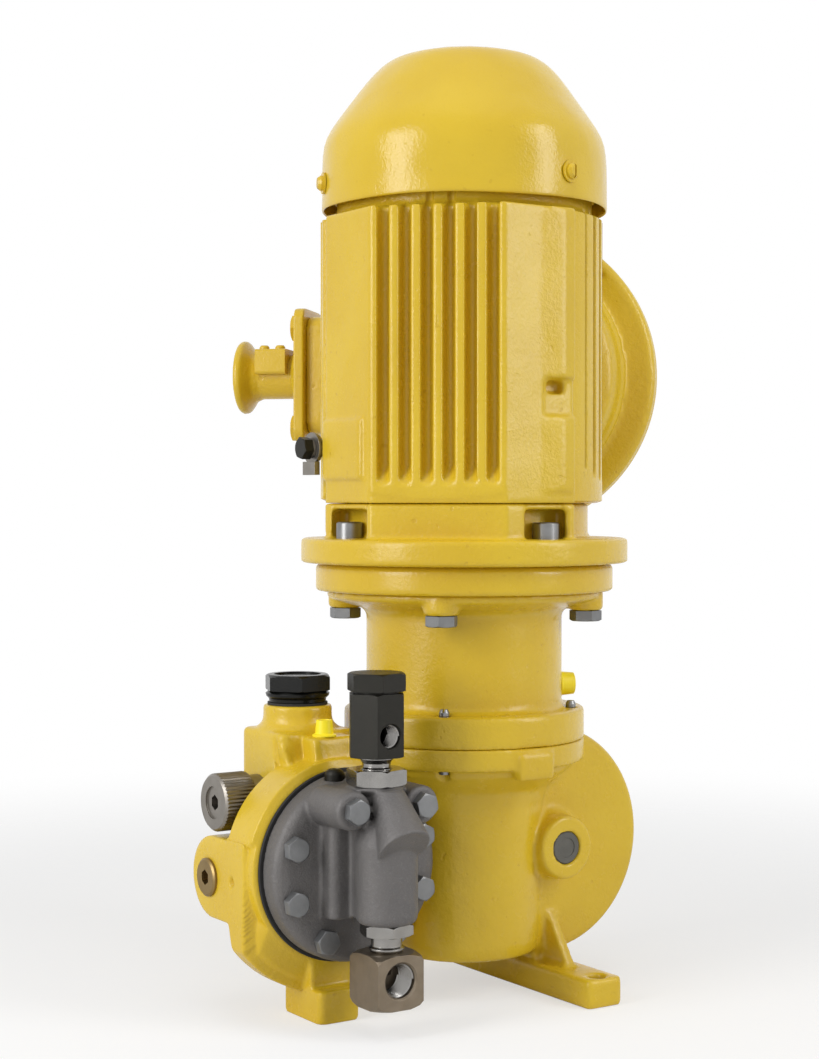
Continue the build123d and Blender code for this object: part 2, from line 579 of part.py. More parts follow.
def head_shoulder():
    """Flat topped bridge that carries the two long bolt bosses and the discharge column."""
    x, z = polar(HEAD_BOLT_PCD / 2, LONG_BOLT_ANGLES[0])
    bridge = block(HEAD_X - x - LONG_BOSS_R, HEAD_X + x + LONG_BOSS_R, -60, HEAD_FRONT + 2,
                   AXIS_Z + z - LONG_BOSS_R, AXIS_Z + z + LONG_BOSS_R - 0.4)
    bridge = soften(bridge, bridge.edges().filter_by(Axis.Y), LONG_BOSS_R - 0.6)
    for angle in LONG_BOLT_ANGLES:
        x, z = polar(HEAD_BOLT_PCD / 2, angle)
        bridge += turned_y(HEAD_X + x, AXIS_Z + z, (0, HEAD_FRONT + 1), (LONG_BOSS_R, HEAD_FRONT + 1),
                           (LONG_BOSS_R, LONG_BOSS_FRONT + 1.5), (LONG_BOSS_R - 1.5, LONG_BOSS_FRONT),
                           (0, LONG_BOSS_FRONT))
    return bridge


def diaphragm_head():
    """Cast head: bolting flange, valve columns, bolt bosses and the diaphragm's front dish."""
    body = turned_y(HEAD_X, AXIS_Z, (0, HEAD_FRONT), (HEAD_R - 7.5, HEAD_FRONT),
                    (HEAD_R - 3.5, HEAD_FRONT + 0.8), (HEAD_R - 1, HEAD_FRONT + 2.6),
                    (HEAD_R, HEAD_FRONT + 5), (HEAD_R, GASKET_FRONT), (0, GASKET_FRONT))
    bar = block(HEAD_X - 25, HEAD_X + 17, -50, HEAD_FRONT + 2, 64, 122)
    body += soften(bar, bar.edges().filter_by(Axis.Z), 5)
    body += block(HEAD_X - 13, HEAD_X + 13, SUCTION_Y, -44, 65, 118)
    lip = turned((0, 63.5), (15, 63.5), (17, 65.5), (17.6, 68), (17.6, 108), (14, 122), (0, 122))
    body += Pos(HEAD_X, SUCTION_Y, 0) * lip
    column = turned((0, 105), (12, 105), (12, 134.5), (16, 137.5), (16, 139), (15.3, HEAD_TOP_Z),
                    (0, HEAD_TOP_Z))
    body += Pos(HEAD_X, DISCHARGE_Y, 0) * column
    body += head_shoulder()
    body += inclined_boss() & block(-200, -80, -110, -44, 60, HEAD_TOP_Z - 1.2)
    return body - head_passages()


def head_passages():
    """Dish in front of the diaphragm, valve chambers, their ways in and out, bolt holes."""
    dish_r, dish_depth = 35.0, 6.0
    sphere_r = (dish_r ** 2 + dish_depth ** 2) / (2 * dish_depth)
    dish = Pos(HEAD_X, GASKET_FRONT - dish_depth + sphere_r, AXIS_Z) * Sphere(sphere_r)
    hollow = dish & cyl_y(HEAD_X, AXIS_Z, GASKET_FRONT - dish_depth - 1, GASKET_FRONT + 1, dish_r)
    hollow += cyl_z(HEAD_X, SUCTION_Y, 60, 92, 8)
    hollow += cyl_y(HEAD_X, 87, SUCTION_Y, GASKET_FRONT - 4, 4)
    hollow += cyl_z(HEAD_X, DISCHARGE_Y, 110, 141, 8)
    hollow += cyl_z(AIR_BLEED_X, AIR_BLEED_Y, 132, 139, 3)
    hollow += cyl_z(AIR_BLEED_X, AIR_BLEED_Y, 139, 160, AIR_BLEED_R + 0.2)
    hollow += cyl_y(HEAD_X, 114, DISCHARGE_Y, GASKET_FRONT - 2, 4)
    for angle in HEAD_BOLT_ANGLES:
        x, z = polar(HEAD_BOLT_PCD / 2, angle)
        front = LONG_BOSS_FRONT - 1 if angle in LONG_BOLT_ANGLES else HEAD_FRONT - 8
        hollow += cyl_y(HEAD_X + x, AXIS_Z + z, front, GASKET_FRONT + 1, 4.3)
        if angle in LONG_BOLT_ANGLES:
            hollow += cyl_y(HEAD_X + x, AXIS_Z + z, -100, LONG_BOSS_FRONT, 8.2)
    return hollow


def head_gasket():
    ring = turned_y(HEAD_X, AXIS_Z, (37.4, GASKET_FRONT), (55.5, GASKET_FRONT), (56, GASKET_FRONT + 0.5),
                    (56, -20.5), (55.5, -20), (37.4, -20))
    return ring - head_bolt_holes(4.3)


def head_bolt_holes(radius):
    holes = []
    for angle in HEAD_BOLT_ANGLES:
        x, z = polar(HEAD_BOLT_PCD / 2, angle)
        holes.append(cyl_y(HEAD_X + x, AXIS_Z + z, -30, -5, radius))
    return fuse(holes)


def diaphragm():
    """Round flat diaphragm with its bead, held between head and contour plate."""
    return turned_y(HEAD_X, AXIS_Z, (0, -21.6), (33, -21.6), (37.4, GASKET_FRONT), (37.4, -20), (0, -20))


def contour_plate():
    """Dished plate with rings of oil holes behind the diaphragm."""
    plate = turned_y(HEAD_X, AXIS_Z, (0, -15), (18, -16), (35, -20), (CONTOUR_PLATE_R, -20),
                     (CONTOUR_PLATE_R, -11), (0, -11))
    for radius, count in ((10, 6), (22, 10)):
        for index in range(count):
            x, z = polar(radius, index * 360 / count)
            plate -= cyl_y(HEAD_X + x, AXIS_Z + z, -25, -5, 2.5)
    return plate


def head_bolts():
    """Six short hex bolts and two long ones through the long bosses."""
    bolts = []
    for angle in HEAD_BOLT_ANGLES:
        x, z = polar(HEAD_BOLT_PCD / 2, angle)
        front = LONG_BOSS_FRONT if angle in LONG_BOLT_ANGLES else HEAD_FRONT
        bolt = hex_bolt(HEAD_BOLT_AF, 5.5, 4.0, -6 - front)
        bolts.append(Pos(HEAD_X + x, front, AXIS_Z + z) * Rot(90, 0, 0) * Rot(0, 0, angle * 1.7) * bolt)
    return bolts


# ---------------------------------------------------------------- valves and connections

def lock_nuts():
    """Hex lock nuts under and above the head."""
    suction = Pos(HEAD_X, SUCTION_Y, 0) * (hexagon(27, 57, 63.5, 1.5, 1.5, 12) - cyl_z(0, 0, 50, 70, 9))
    discharge = Pos(HEAD_X, DISCHARGE_Y, 0) * (
        hexagon(30, 139.7, 148.8, 1.5, 1.5, 18) - cyl_z(0, 0, 130, 150, 9))
    return [suction, discharge]


def pipe_nipples():
    suction = turned((5.5, 44), (8.9, 44), (8.9, 47.5), (10, 49), (10, 50), (8.8, 51), (8.8, 55.5),
                     (9, 57), (9, 63.5), (7.9, 63.5), (7.9, 66.5), (5.5, 66.5))
    discharge = turned((5.5, 140), (7.9, 140), (7.9, 139.9), (9, 139.9), (9, 149), (8, 150), (8, 152),
                       (9.6, 154.5), (9.6, 155.7), (8.2, 155.7), (8.2, 161), (5.5, 161))
    return [Pos(HEAD_X, SUCTION_Y, 0) * suction, Pos(HEAD_X, DISCHARGE_Y, 0) * discharge]


def suction_valve_body():
    """Square bar block, turned at both ends, with the threaded inlet in its front face."""
    half = 15.0
    body = block(-half, half, -half, half, 17, 47.5)
    body = body & turned((0, 17), (16.2, 17), (19.5, 18.6), (21.4, 21), (21.4, 43.5), (19.5, 45.8),
                         (15.4, 47.5), (0, 47.5))
    body -= cyl_z(0, 0, 43.9, 48, 8.95)
    body -= cyl_z(0, 0, 33, 45, 6)
    body -= cyl_y(0, SUCTION_PORT_Z, -half - 1, 3, SUCTION_PORT_R)
    body -= turned_y(0, SUCTION_PORT_Z, (0, -half - 0.1), (SUCTION_PORT_R + 1.2, -half - 0.1),
                     (SUCTION_PORT_R, -half + 1.2), (0, -half + 1.2))
    return Pos(HEAD_X, SUCTION_Y, 0) * body


def discharge_valve_body():
    """Hex bar body with the threaded outlet in its front flat."""
    half = 15.0
    body = hexagon(30, 155.7, 191.5, 1.4, 1.4)
    body -= cyl_z(0, 0, 155, 161, 8.25)
    body -= cyl_z(0, 0, 160, 175, 5.5)
    body -= cyl_z(0, 0, 174, 192, 7)
    body -= cyl_y(0, DISCHARGE_PORT_Z, -half - 1, 0, DISCHARGE_PORT_R)
    body -= turned_y(0, DISCHARGE_PORT_Z, (0, -half - 0.1), (DISCHARGE_PORT_R + 0.8, -half - 0.1),
                     (DISCHARGE_PORT_R, -half + 0.8), (0, -half + 0.8))
    return Pos(HEAD_X, DISCHARGE_Y, 0) * body


def discharge_cap():
    """Hex cap screwed into the discharge body; the groove under it is its collar."""
    cap = hexagon(30, 192.7, 203, 2.2, 0.8, 10)
    cap += cyl_z(0, 0, 191.5, 193, 13.2) + cyl_z(0, 0, 180, 192, 6.9)
    return Pos(HEAD_X, DISCHARGE_Y, 0) * cap


def valve_seats():
    """Ring seats pressed into the two valve chambers."""
    suction = turned((SEAT_BORE_R, 67), (8, 67), (8, SUCTION_SEAT_TOP), (SEAT_BORE_R, SUCTION_SEAT_TOP))
    discharge = turned((SEAT_BORE_R, 119), (8, 119), (8, DISCHARGE_SEAT_TOP),
                       (SEAT_BORE_R, DISCHARGE_SEAT_TOP))
    return [Pos(HEAD_X, SUCTION_Y, 0) * suction, Pos(HEAD_X, DISCHARGE_Y, 0) * discharge]


def valve_ball(y, seat_top):
    drop = sqrt(BALL_R ** 2 - SEAT_BORE_R ** 2)
    return Pos(HEAD_X, y, seat_top + drop + BALL_GAP) * Sphere(BALL_R)


# ---------------------------------------------------------------- fittings on the chamber

def oil_cap():
    """Hex filler cap with a washer rim and its threaded stub in the neck."""
    cap = hexagon(36, 186.5, 196, 3.0, 1.0, 8)
    cap = cap - cyl_z(0, 0, 194.8, 197, 14)
    stub = turned((0, 166), (13.4, 166), (13.4, FILLER_TOP_Z + 1.6), (17, FILLER_TOP_Z + 1.6),
                  (17.2, FILLER_TOP_Z + 3.6), (18.8, 183.2), (19.2, 184.8), (17, 186.6), (0, 186.6))
    return Pos(FILLER_X, FILLER_Y, 0) * (cap + stub)


def oil_cap_seal():
    ring = turned((14.2, FILLER_TOP_Z), (18, FILLER_TOP_Z), (18, FILLER_TOP_Z + 1.4),
                  (14.2, FILLER_TOP_Z + 1.4))
    return Pos(FILLER_X, FILLER_Y, 0) * ring


def plastic_plug(stub_r):
    """Thin walled plastic plug: wide rim, tapered hollow cap and a stub below."""
    outer = turned((0, -6), (stub_r - 0.3, -6), (stub_r, 0), (stub_r + 3, 0), (stub_r + 3, 1),
                   (stub_r + 1.4, 1.6), (stub_r + 0.7, 9.6), (0, 9.6))
    return outer - turned((0, 4), (stub_r - 1.2, 4), (stub_r - 0.4, 10), (0, 10))


def vent_plug():
    return Pos(VENT_X, VENT_Y, TOWER_TOP_Z - 2) * plastic_plug(4.0)


def lantern_plug():
    place = Pos(MOTOR_X, 0, LANTERN_PLUG_Z) * Rot(0, 0, LANTERN_PLUG_ANGLE) * Pos(NECK_R, 0, 0)
    return place * Rot(0, 90, 0) * plastic_plug(6.0)


def sight_plug():
    """Dark disc pressed into the front bearing boss."""
    return turned_y(0, AXIS_Z, (0, BOSS_FRONT + 1.2), (6, BOSS_FRONT + 1.2), (6, BOSS_FRONT + 0.8),
                    (9.2, BOSS_FRONT + 0.8), (10, BOSS_FRONT + 1.6), (10, BOSS_FRONT + 4.5),
                    (0, BOSS_FRONT + 4.5))


def side_plug():
    """Screwed plug with a hex socket in the D shaped face."""
    body = turned((0, -9), (8.8, -9), (8.8, 0), (11.2, 0), (11.2, 1.4), (10, 2.4), (0, 2.4))
    body -= hexagon(8, -4, 3)
    return Pos(LEFT_FACE_X, 32, 79.4) * Rot(0, -90, 0) * body


def air_bleed():
    """Small black domed bleed cap on top of the head's flange."""
    cap = turned((0, 133), (3, 133), (3, 139), (AIR_BLEED_R, 139), (AIR_BLEED_R, 143.4),
                 (AIR_BLEED_R - 0.8, 145), (AIR_BLEED_R - 2.4, 146.2), (0, 146.8))
    return Pos(AIR_BLEED_X, AIR_BLEED_Y, 0) * cap


# ---------------------------------------------------------------- capacity adjustment

def knob_bushing():
    """Fixed sleeve screwed into the tower; the knob turns on its end."""
    return turned_x(PLUNGER_Y, KNOB_Z, (4.1, -160), (10, -160), (10, -169), (14.5, -169),
                    (14.5, KNOB_BACK_X + 0.5), (12, KNOB_BACK_X + 0.5), (12, -190), (4.1, -190))


def adjusting_knob():
    """Knurled knob with a socket in its face; a blind bore runs on the bushing."""
    profile = []
    grooves = 48
    for index in range(grooves * 2):
        radius = 17.0 if index % 2 == 0 else 16.4
        profile.append(polar(radius, index * 180 / grooves))
    length = KNOB_BACK_X - KNOB_FACE_X
    knurled = extrude(Polygon(*profile, align=None), length)
    limit = turned((0, 0), (15.4, 0), (17.2, 1.8), (17.2, length - 1.8), (15.4, length), (0, length))
    body = (knurled & limit) - cyl_z(0, 0, -1, 13.2, 12.3)
    body -= cyl_z(0, 0, length - 1.2, length + 1, 9.5)
    body -= hexagon(8, length - 7, length + 1)
    return Pos(KNOB_BACK_X, PLUNGER_Y, KNOB_Z) * Rot(0, -90, 0) * body


def adjusting_stem():
    """Keyed stem that the knob's screw moves in and out, with the spill sleeve's fork."""
    stem = cyl_x(PLUNGER_Y, KNOB_Z, -189.5, -150, 4.0)
    fork = cyl_x(PLUNGER_Y, KNOB_Z, -157.5, -150, 7.0)
    return stem + fork


def plunger_liner():
    """Honed liner in the chamber; the plunger slides in it."""
    return turned_x(PLUNGER_Y, AXIS_Z, (PLUNGER_R + RUNNING_GAP, -172), (LINER_R, -172),
                    (LINER_R, CHAMBER_JOINT_X), (PLUNGER_R + RUNNING_GAP, CHAMBER_JOINT_X))


# ---------------------------------------------------------------- worm drive

def crosshead():
    """Round guide and open yoke that the eccentric pushes to and fro."""
    guide = turned_x(PLUNGER_Y, AXIS_Z, (0, -100), (TUNNEL_BORE_R - 1, -100),
                     (TUNNEL_BORE_R - RUNNING_GAP, -99), (TUNNEL_BORE_R - RUNNING_GAP, -87),
                     (17, -86), (17, -82), (TUNNEL_BORE_R - RUNNING_GAP, -81),
                     (TUNNEL_BORE_R - RUNNING_GAP, -69), (TUNNEL_BORE_R - 1, -68), (0, -68))
    rod = cyl_x(PLUNGER_Y, AXIS_Z, -70, -24, 7)
    inner_x = ECCENTRIC_R + PLUNGER_STROKE + 0.5
    inner_z = ECCENTRIC_R + ECCENTRICITY + 0.5
    yoke = block(-inner_x - 6, inner_x + 6, PLUNGER_Y - 7, PLUNGER_Y + 7,
                 AXIS_Z - inner_z - 6, AXIS_Z + inner_z + 6)
    yoke = soften(yoke, yoke.edges().filter_by(Axis.Y), 7)
    slot = block(-inner_x, inner_x, PLUNGER_Y - 9, PLUNGER_Y + 9, AXIS_Z - inner_z, AXIS_Z + inner_z)
    return (guide + rod + yoke) - slot - cyl_x(PLUNGER_Y, AXIS_Z, -101, -85, 4.5)


def plunger():
    """Ground plunger, screwed into the crosshead and running in the liner."""
    return turned_x(PLUNGER_Y, AXIS_Z, (0, -152), (PLUNGER_R - 0.6, -152), (PLUNGER_R, -151.4),
                    (PLUNGER_R, -100), (4.5, -100), (4.5, -85), (0, -85))


def worm_thread():
    """One start thread: a trapezoid swept along the pitch helix."""
    root_r = WORM_PITCH_R - 1.2 * GEAR_MODULE
    tip_r = WORM_PITCH_R + 0.95 * GEAR_MODULE
    base_half = WORM_LEAD / 4 + 1.25 * GEAR_MODULE * 0.36 - 0.1
    tip_half = WORM_LEAD / 4 - 0.95 * GEAR_MODULE * 0.36 - 0.1
    helix = Helix(pitch=WORM_LEAD, height=WORM_TURNS * WORM_LEAD, radius=root_r)
    profile = Plane.XZ * Polygon((root_r - 0.4, -base_half), (tip_r, -tip_half), (tip_r, tip_half),
                                 (root_r - 0.4, base_half), align=None)
    return sweep(profile, path=helix, is_frenet=True)


def worm_shaft():
    """Worm in one piece with its shaft; the thread stands in the wheel's tooth spaces."""
    shaft = turned((0, 34), (5.6, 34), (5.95, 34.5), (5.95, 45), (SHAFT_R + 1, 45.5),
                   (SHAFT_R + 1, 66), (WORM_PITCH_R - 1.2 * GEAR_MODULE, 69),
                   (WORM_PITCH_R - 1.2 * GEAR_MODULE, 109), (SHAFT_R + 1, 112), (10, 112.5), (10, 155.5),
                   (SHAFT_R - 0.03, 156), (SHAFT_R - 0.03, COUPLING_MID_Z - 7), (0, COUPLING_MID_Z - 7))
    thread = Pos(0, 0, AXIS_Z - WORM_TURNS / 2 * WORM_LEAD) * worm_thread()
    return Pos(MOTOR_X, 0, 0) * (shaft + thread)


def worm_wheel():
    """Bronze wheel; its teeth are twisted by the worm's lead angle."""
    step = 360.0 / WHEEL_TEETH
    outer = WHEEL_PITCH_R + 0.95 * GEAR_MODULE
    root = WHEEL_PITCH_R - 1.2 * GEAR_MODULE
    half = (WORM_LEAD / 2 - BACKLASH) / 2
    base = degrees_at(root, half + 1.2 * GEAR_MODULE * 0.36)
    tip = degrees_at(outer, half - 0.95 * GEAR_MODULE * 0.36)
    points = []
    for index in range(WHEEL_TEETH):
        centre = index * step
        for radius, offset in ((root, -base), (outer, -tip), (outer, tip), (root, base)):
            points.append(polar(radius, centre + offset))
    lead_angle = atan2(WORM_LEAD, 2 * pi * WORM_PITCH_R)
    twist = WHEEL_WIDTH * (lead_angle * 180 / pi) / WHEEL_PITCH_R
    blank = Solid.extrude_linear_with_rotation(
        Polygon(*points, align=None).face().outer_wire(), center=(0, 0, 0),
        normal=(0, 0, WHEEL_WIDTH), angle=twist)
    body = Part() + blank
    body -= cyl_z(0, 0, -1, WHEEL_WIDTH + 1, SHAFT_R)
    for face in (-1, WHEEL_WIDTH - 3):
        body -= cyl_z(0, 0, face, face + 4, 25) - cyl_z(0, 0, face - 1, face + 5, 13)
    placed = Rot(0, 0, WHEEL_PHASE - twist / 2) * body
    return Pos(0, WHEEL_WIDTH / 2, AXIS_Z) * Rot(90, 0, 0) * placed


def degrees_at(radius, half_width):
    return half_width / radius * 180 / pi


def eccentric_shaft():
    """Wheel shaft with its eccentric behind the wheel."""
    shaft = turned_y(0, AXIS_Z, (0, -44.5), (6.6, -44.5), (SHAFT_R - 0.03, -43.6),
                     (SHAFT_R - 0.03, -34.8), (SHAFT_R + 2, -34.6), (SHAFT_R + 2, -8.2), (SHAFT_R, -8),
                     (SHAFT_R, 8), (SHAFT_R + 2, 8.2), (SHAFT_R + 2, 22), (SHAFT_R, 23), (SHAFT_R, 45.6),
                     (SHAFT_R - 0.03, 45.8), (SHAFT_R - 0.03, 54), (6.6, 54.8), (0, 54.8))
    return shaft + cyl_y(0, AXIS_Z + ECCENTRICITY, 23.5, 36.5, ECCENTRIC_R)


def bearing(inner_r, outer_r, width):
    """Shielded ball bearing standing on Z = 0."""
    rim = (outer_r - inner_r) * 0.22
    return turned((inner_r, 0), (inner_r + rim, 0), (inner_r + rim, 0.8), (outer_r - rim, 0.8),
                  (outer_r - rim, 0), (outer_r, 0), (outer_r, width), (outer_r - rim, width),
                  (outer_r - rim, width - 0.8), (inner_r + rim, width - 0.8), (inner_r + rim, width),
                  (inner_r, width))


def worm_bearings():
    lower = Pos(MOTOR_X, 0, 34) * bearing(6.0, 16, 10)
    upper = Pos(MOTOR_X, 0, 156) * bearing(SHAFT_R, 17.5, 11)
    return [lower, upper]


def wheel_bearings():
    front = Pos(0, -35, AXIS_Z) * Rot(90, 0, 0) * bearing(SHAFT_R, 16, 9)
    rear = Pos(0, 55, AXIS_Z) * Rot(90, 0, 0) * bearing(SHAFT_R, 16, 9)
    return [front, rear]


# ---------------------------------------------------------------- motor and coupling inside

def motor_bearings():
    drive = Pos(MOTOR_X, 0, 284) * bearing(10, 23.5, 14)
    fan = Pos(MOTOR_X, 0, FRAME_Z1 - 16) * bearing(10, 23.5, 14)
    return [drive, fan]


def stator_core():
    """Laminated stator, pressed into the frame, with its slots left open to the bore."""
    core = turned((38, 345), (FRAME_BORE_R, 345), (FRAME_BORE_R, 435), (38, 435))
    for index in range(12):
        x, y = polar(44, index * 30 + 15)
        core -= cyl_z(x, y, 344, 436, 3.2)
    return Pos(MOTOR_X, 0, 0) * core


def stator_windings():
    """Copper end turns above and below the core."""
    low = turned((41, 322), (54, 322), (58, 327), (58, 344.8), (41, 344.8))
    high = turned((41, 435.2), (58, 435.2), (58, 453), (54, 458), (41, 458))
    return [Pos(MOTOR_X, 0, 0) * low, Pos(MOTOR_X, 0, 0) * high]


def rotor_core():
    core = turned((13, 342), (37.4, 342), (37.4, 438), (13, 438))
    ends = turned((20, 436), (30, 436), (30, 444), (20, 444)) + turned(
        (20, 336), (30, 336), (30, 344), (20, 344))
    return Pos(MOTOR_X, 0, 0) * (core + ends)


def motor_shaft():
    shaft = turned((0, 223), (8.8, 223), (9.5, 223.8), (9.5, 262), (9.97, 264), (9.97, 298),
                   (13, 300), (13, 460), (9.97, 464), (9.97, 478.4), (9, 479), (9, SHAFT_TOP_Z - 1),
                   (8, SHAFT_TOP_Z), (0, SHAFT_TOP_Z))
    return Pos(MOTOR_X, 0, 0) * shaft


def cooling_fan():
    """Radial fan: hub, back plate and eight straight blades."""
    fan = turned((9, 512), (17, 512), (17, 534), (9, 534)) + turned(
        (16, 512), (68, 512), (68, 514.5), (16, 514.5))
    for index in range(8):
        blade = Polygon((16, 513), (67, 513), (67, 524), (48, 540), (16, 540), align=None)
        fan += Rot(0, 0, index * 45) * Pos(0, 1.2, 0) * extrude(Plane.XZ * blade, 2.4)
    return Pos(MOTOR_X, 0, 0) * fan


def coupling_hub(bore, jaw_up):
    """Jaw coupling hub standing on Z = 0; three jaws stand on its free face."""
    hub = cyl_z(0, 0, -26, 0, 20) - cyl_z(0, 0, -27, 1, bore)
    for index in range(3):
        sector = Rot(0, 0, index * 120) * block(9, 21, -3.6, 3.6, -1, 11)
        hub += sector & (cyl_z(0, 0, -1, 11, 20) - cyl_z(0, 0, -2, 12, 11))
    return hub if jaw_up else Rot(180, 0, 0) * hub


def coupling_hubs():
    low = Pos(MOTOR_X, 0, COUPLING_MID_Z - 6.5) * coupling_hub(SHAFT_R - 0.03, True)
    high = Pos(MOTOR_X, 0, COUPLING_MID_Z + 6.5) * Rot(0, 0, 60) * coupling_hub(9.5, False)
    return [low, high]


def coupling_spider():
    """Rubber star between the jaws."""
    star = cyl_z(0, 0, -6.5, 6.5, 9.5)
    for index in range(6):
        star += Rot(0, 0, index * 60 + 30) * block(5, 18.5, -1.6, 1.6, -6.5, 6.5)
    return Pos(MOTOR_X, 0, COUPLING_MID_Z) * (star - cyl_z(0, 0, -8, 8, 4))


# ---------------------------------------------------------------- terminal box and gland

# Local frame: +Z leaves the motor on the rear diagonal, +X is the gland side, +Y is up
BOX_FRAME = Plane(origin=(MOTOR_X, 0, TERMINAL_Z), x_dir=(-1, 1, 0), z_dir=(1, 1, 0))


def terminal_box():
    """Round cast box on the frame's pad, with a square duct towards the cable gland."""
    bowl = turned((0, 104), (BOWL_R - 14, 104), (BOWL_R - 4, 109), (BOWL_R - 1, 118), (BOWL_R, 128),
                  (BOWL_R + 2.5, 130), (BOWL_R + 3, 133), (BOWL_R + 1, 135.5), (BOWL_R + 1.5, 139),
                  (TERMINAL_R - 3, 140), (TERMINAL_R, 142.5), (TERMINAL_R, 150), (TERMINAL_R - 2, 152),
                  (0, 152))
    pedestal = block(-42, 42, -45, 45, FRAME_HALF, 110)
    pedestal = soften(pedestal, pedestal.edges().filter_by(Axis.Z), 10)
    duct = block(40, GLAND_FACE - 7, -40, 40, 91, 131)
    duct = soften(duct, duct.edges().filter_by(Axis.X), 9)
    body = bowl + pedestal + duct
    body -= cyl_z(0, 0, 112, 153, BOWL_R - 8)
    body -= cyl_z(0, 0, 100, 120, 30) + cyl_z(0, 0, 80, 112, 22)
    body -= cyl_x(0, GLAND_RHO, 50, GLAND_FACE, 17)
    for height in GLAND_BOLT_HEIGHTS:
        body -= cyl_x(height, GLAND_RHO, GLAND_FACE - 20, GLAND_FACE, 4.1)
    for angle in COVER_SCREW_ANGLES:
        x, y = polar(COVER_SCREW_R, angle)
        body -= cyl_z(x, y, 140, 153, 3.0)
    return BOX_FRAME.location * body


def terminal_box_cover():
    """Domed cover on the outer side of the box."""
    cover = turned((0, 152), (TERMINAL_R - 2, 152), (TERMINAL_R, 154), (TERMINAL_R, 160),
                   (TERMINAL_R - 2.5, 163), (88, 163), (84, 170), (74, 178), (50, 182), (0, 183.5))
    cover -= turned((0, 152), (76, 152), (76, 168), (60, 175), (0, 178))
    for angle in COVER_SCREW_ANGLES:
        x, y = polar(COVER_SCREW_R, angle)
        cover -= cyl_z(x, y, 150, 164, 3.1)
    return BOX_FRAME.location * cover


def terminal_cover_screws():
    screws = []
    for angle in COVER_SCREW_ANGLES:
        x, y = polar(COVER_SCREW_R, angle)
        screws.append(BOX_FRAME.location * Pos(x, y, 163) * socket_screw(5, 5, 2.9, 20, 4))
    return screws


def gland_plate():
    """Blind plate on the duct's end that carries the gland."""
    plate = block(GLAND_FACE - 7, GLAND_FACE, -45, 45, 84, 138)
    plate = soften(plate, plate.edges().filter_by(Axis.X), 8)
    collar = turned_x(0, GLAND_RHO, (0, GLAND_FACE - 1), (25, GLAND_FACE - 1), (23.5, GLAND_FACE + 1.5),
                      (19, GLAND_FACE + 4), (0, GLAND_FACE + 4))
    body = plate + collar - cyl_x(0, GLAND_RHO, GLAND_FACE - 8, GLAND_FACE + 5, 13)
    for height in GLAND_BOLT_HEIGHTS:
        body -= cyl_x(height, GLAND_RHO, GLAND_FACE - 8, GLAND_FACE + 1, 4.2)
    return BOX_FRAME.location * body


def cable_gland():
    """Bell mouth gland: neck, clamp saddle and a rolled flare."""
    neck = GLAND_FACE + 4
    body = turned_x(0, GLAND_RHO, (10, neck), (15, neck), (15, neck + 24), (17, neck + 29),
                    (22, neck + 32.5), (24.5, neck + 34.5), (25, neck + 37), (24, neck + 39),
                    (21, neck + 39.5), (15, neck + 36), (11, neck + 30), (10, neck + 26))
    return BOX_FRAME.location * body


def gland_clamp():
    """Rectangular cable clamp saddle across the gland's neck."""
    neck = GLAND_FACE + 4
    saddle = block(neck + 3, neck + 24, 1, 18, GLAND_RHO - 22, GLAND_RHO + 4)
    saddle = soften(saddle, saddle.edges().filter_by(Axis.X), 2)
    saddle -= cyl_x(0, GLAND_RHO, neck, neck + 30, 15)
    for offset in CLAMP_SCREWS:
        saddle -= cyl_y(neck + offset, GLAND_RHO - 15, 14, 19, 1.6)
    return BOX_FRAME.location * saddle


def gland_screws():
    """Two bolts in the gland plate and two in the clamp."""
    screws = []
    for y in GLAND_BOLT_HEIGHTS:
        bolt = hex_bolt(17, 7, 4, 18)
        screws.append(BOX_FRAME.location * Pos(GLAND_FACE, y, GLAND_RHO) * Rot(0, 90, 0) * bolt)
    for offset in CLAMP_SCREWS:
        pin = pan_screw(3.4, 2.6, 1.5, 3)
        screws.append(BOX_FRAME.location * Pos(GLAND_FACE + 4 + offset, 18, GLAND_RHO - 15)
                      * Rot(-90, 0, 0) * pin)
    return screws


# ---------------------------------------------------------------- fasteners

def cowl_screws():
    screws = []
    for angle in COWL_SCREW_ANGLES:
        head = pan_screw(4.6, 3.6, 2.4, 9) + turned((2, -0.6), (6.5, -0.6), (6.5, 0.6), (2, 0.6))
        screws.append(Pos(MOTOR_X, 0, 0) * Rot(0, 0, angle) * Pos(COWL_R + 0.6, 0, COWL_SCREW_Z)
                      * Rot(0, 90, 0) * head)
    return screws


def flange_cap_screws():
    return around(socket_screw(8, 10, 5, 24, 8), MOTOR_PCD / 2, AXES, MOTOR_FLANGE_TOP)


def lantern_bolts():
    bolt = Rot(180, 0, 0) * (hex_bolt(17, 6.4, 5, 22))
    return around(bolt, LANTERN_PCD / 2, DIAGONALS, 233)


def housing_screws():
    return around(pan_screw(3.1, 4, 2.9, 34), HOUSING_SCREW_R, DIAGONALS, LANTERN_FLANGE_TOP)


def earth_bolt():
    """Hex bolt of the outer earth terminal, at the edge of the frame's left facet."""
    bolt = hex_bolt(12, 6, 3, 14)
    return Pos(MOTOR_X - FACET - 5.4, EARTH_Y, EARTH_Z) * Rot(0, -90, 0) * Rot(0, 0, 15) * bolt


def earth_washers():
    """Spring washer, clamp yoke and flat washer under the earth bolt."""
    flat = turned((3.1, 0), (8.5, 0), (8.5, 1.6), (3.1, 1.6))
    yoke = turned((3.1, 1.8), (9.5, 1.8), (9.5, 3.6), (3.1, 3.6)) + block(-7, 7, -16, -8, 1.8, 5.4)
    spring = turned((3.1, 3.8), (6, 3.8), (6, 5.4), (3.1, 5.4))
    place = Pos(MOTOR_X - FACET, EARTH_Y, EARTH_Z) * Rot(0, -90, 0) * Rot(0, 0, -90)
    return [place * flat, place * yoke, place * spring]


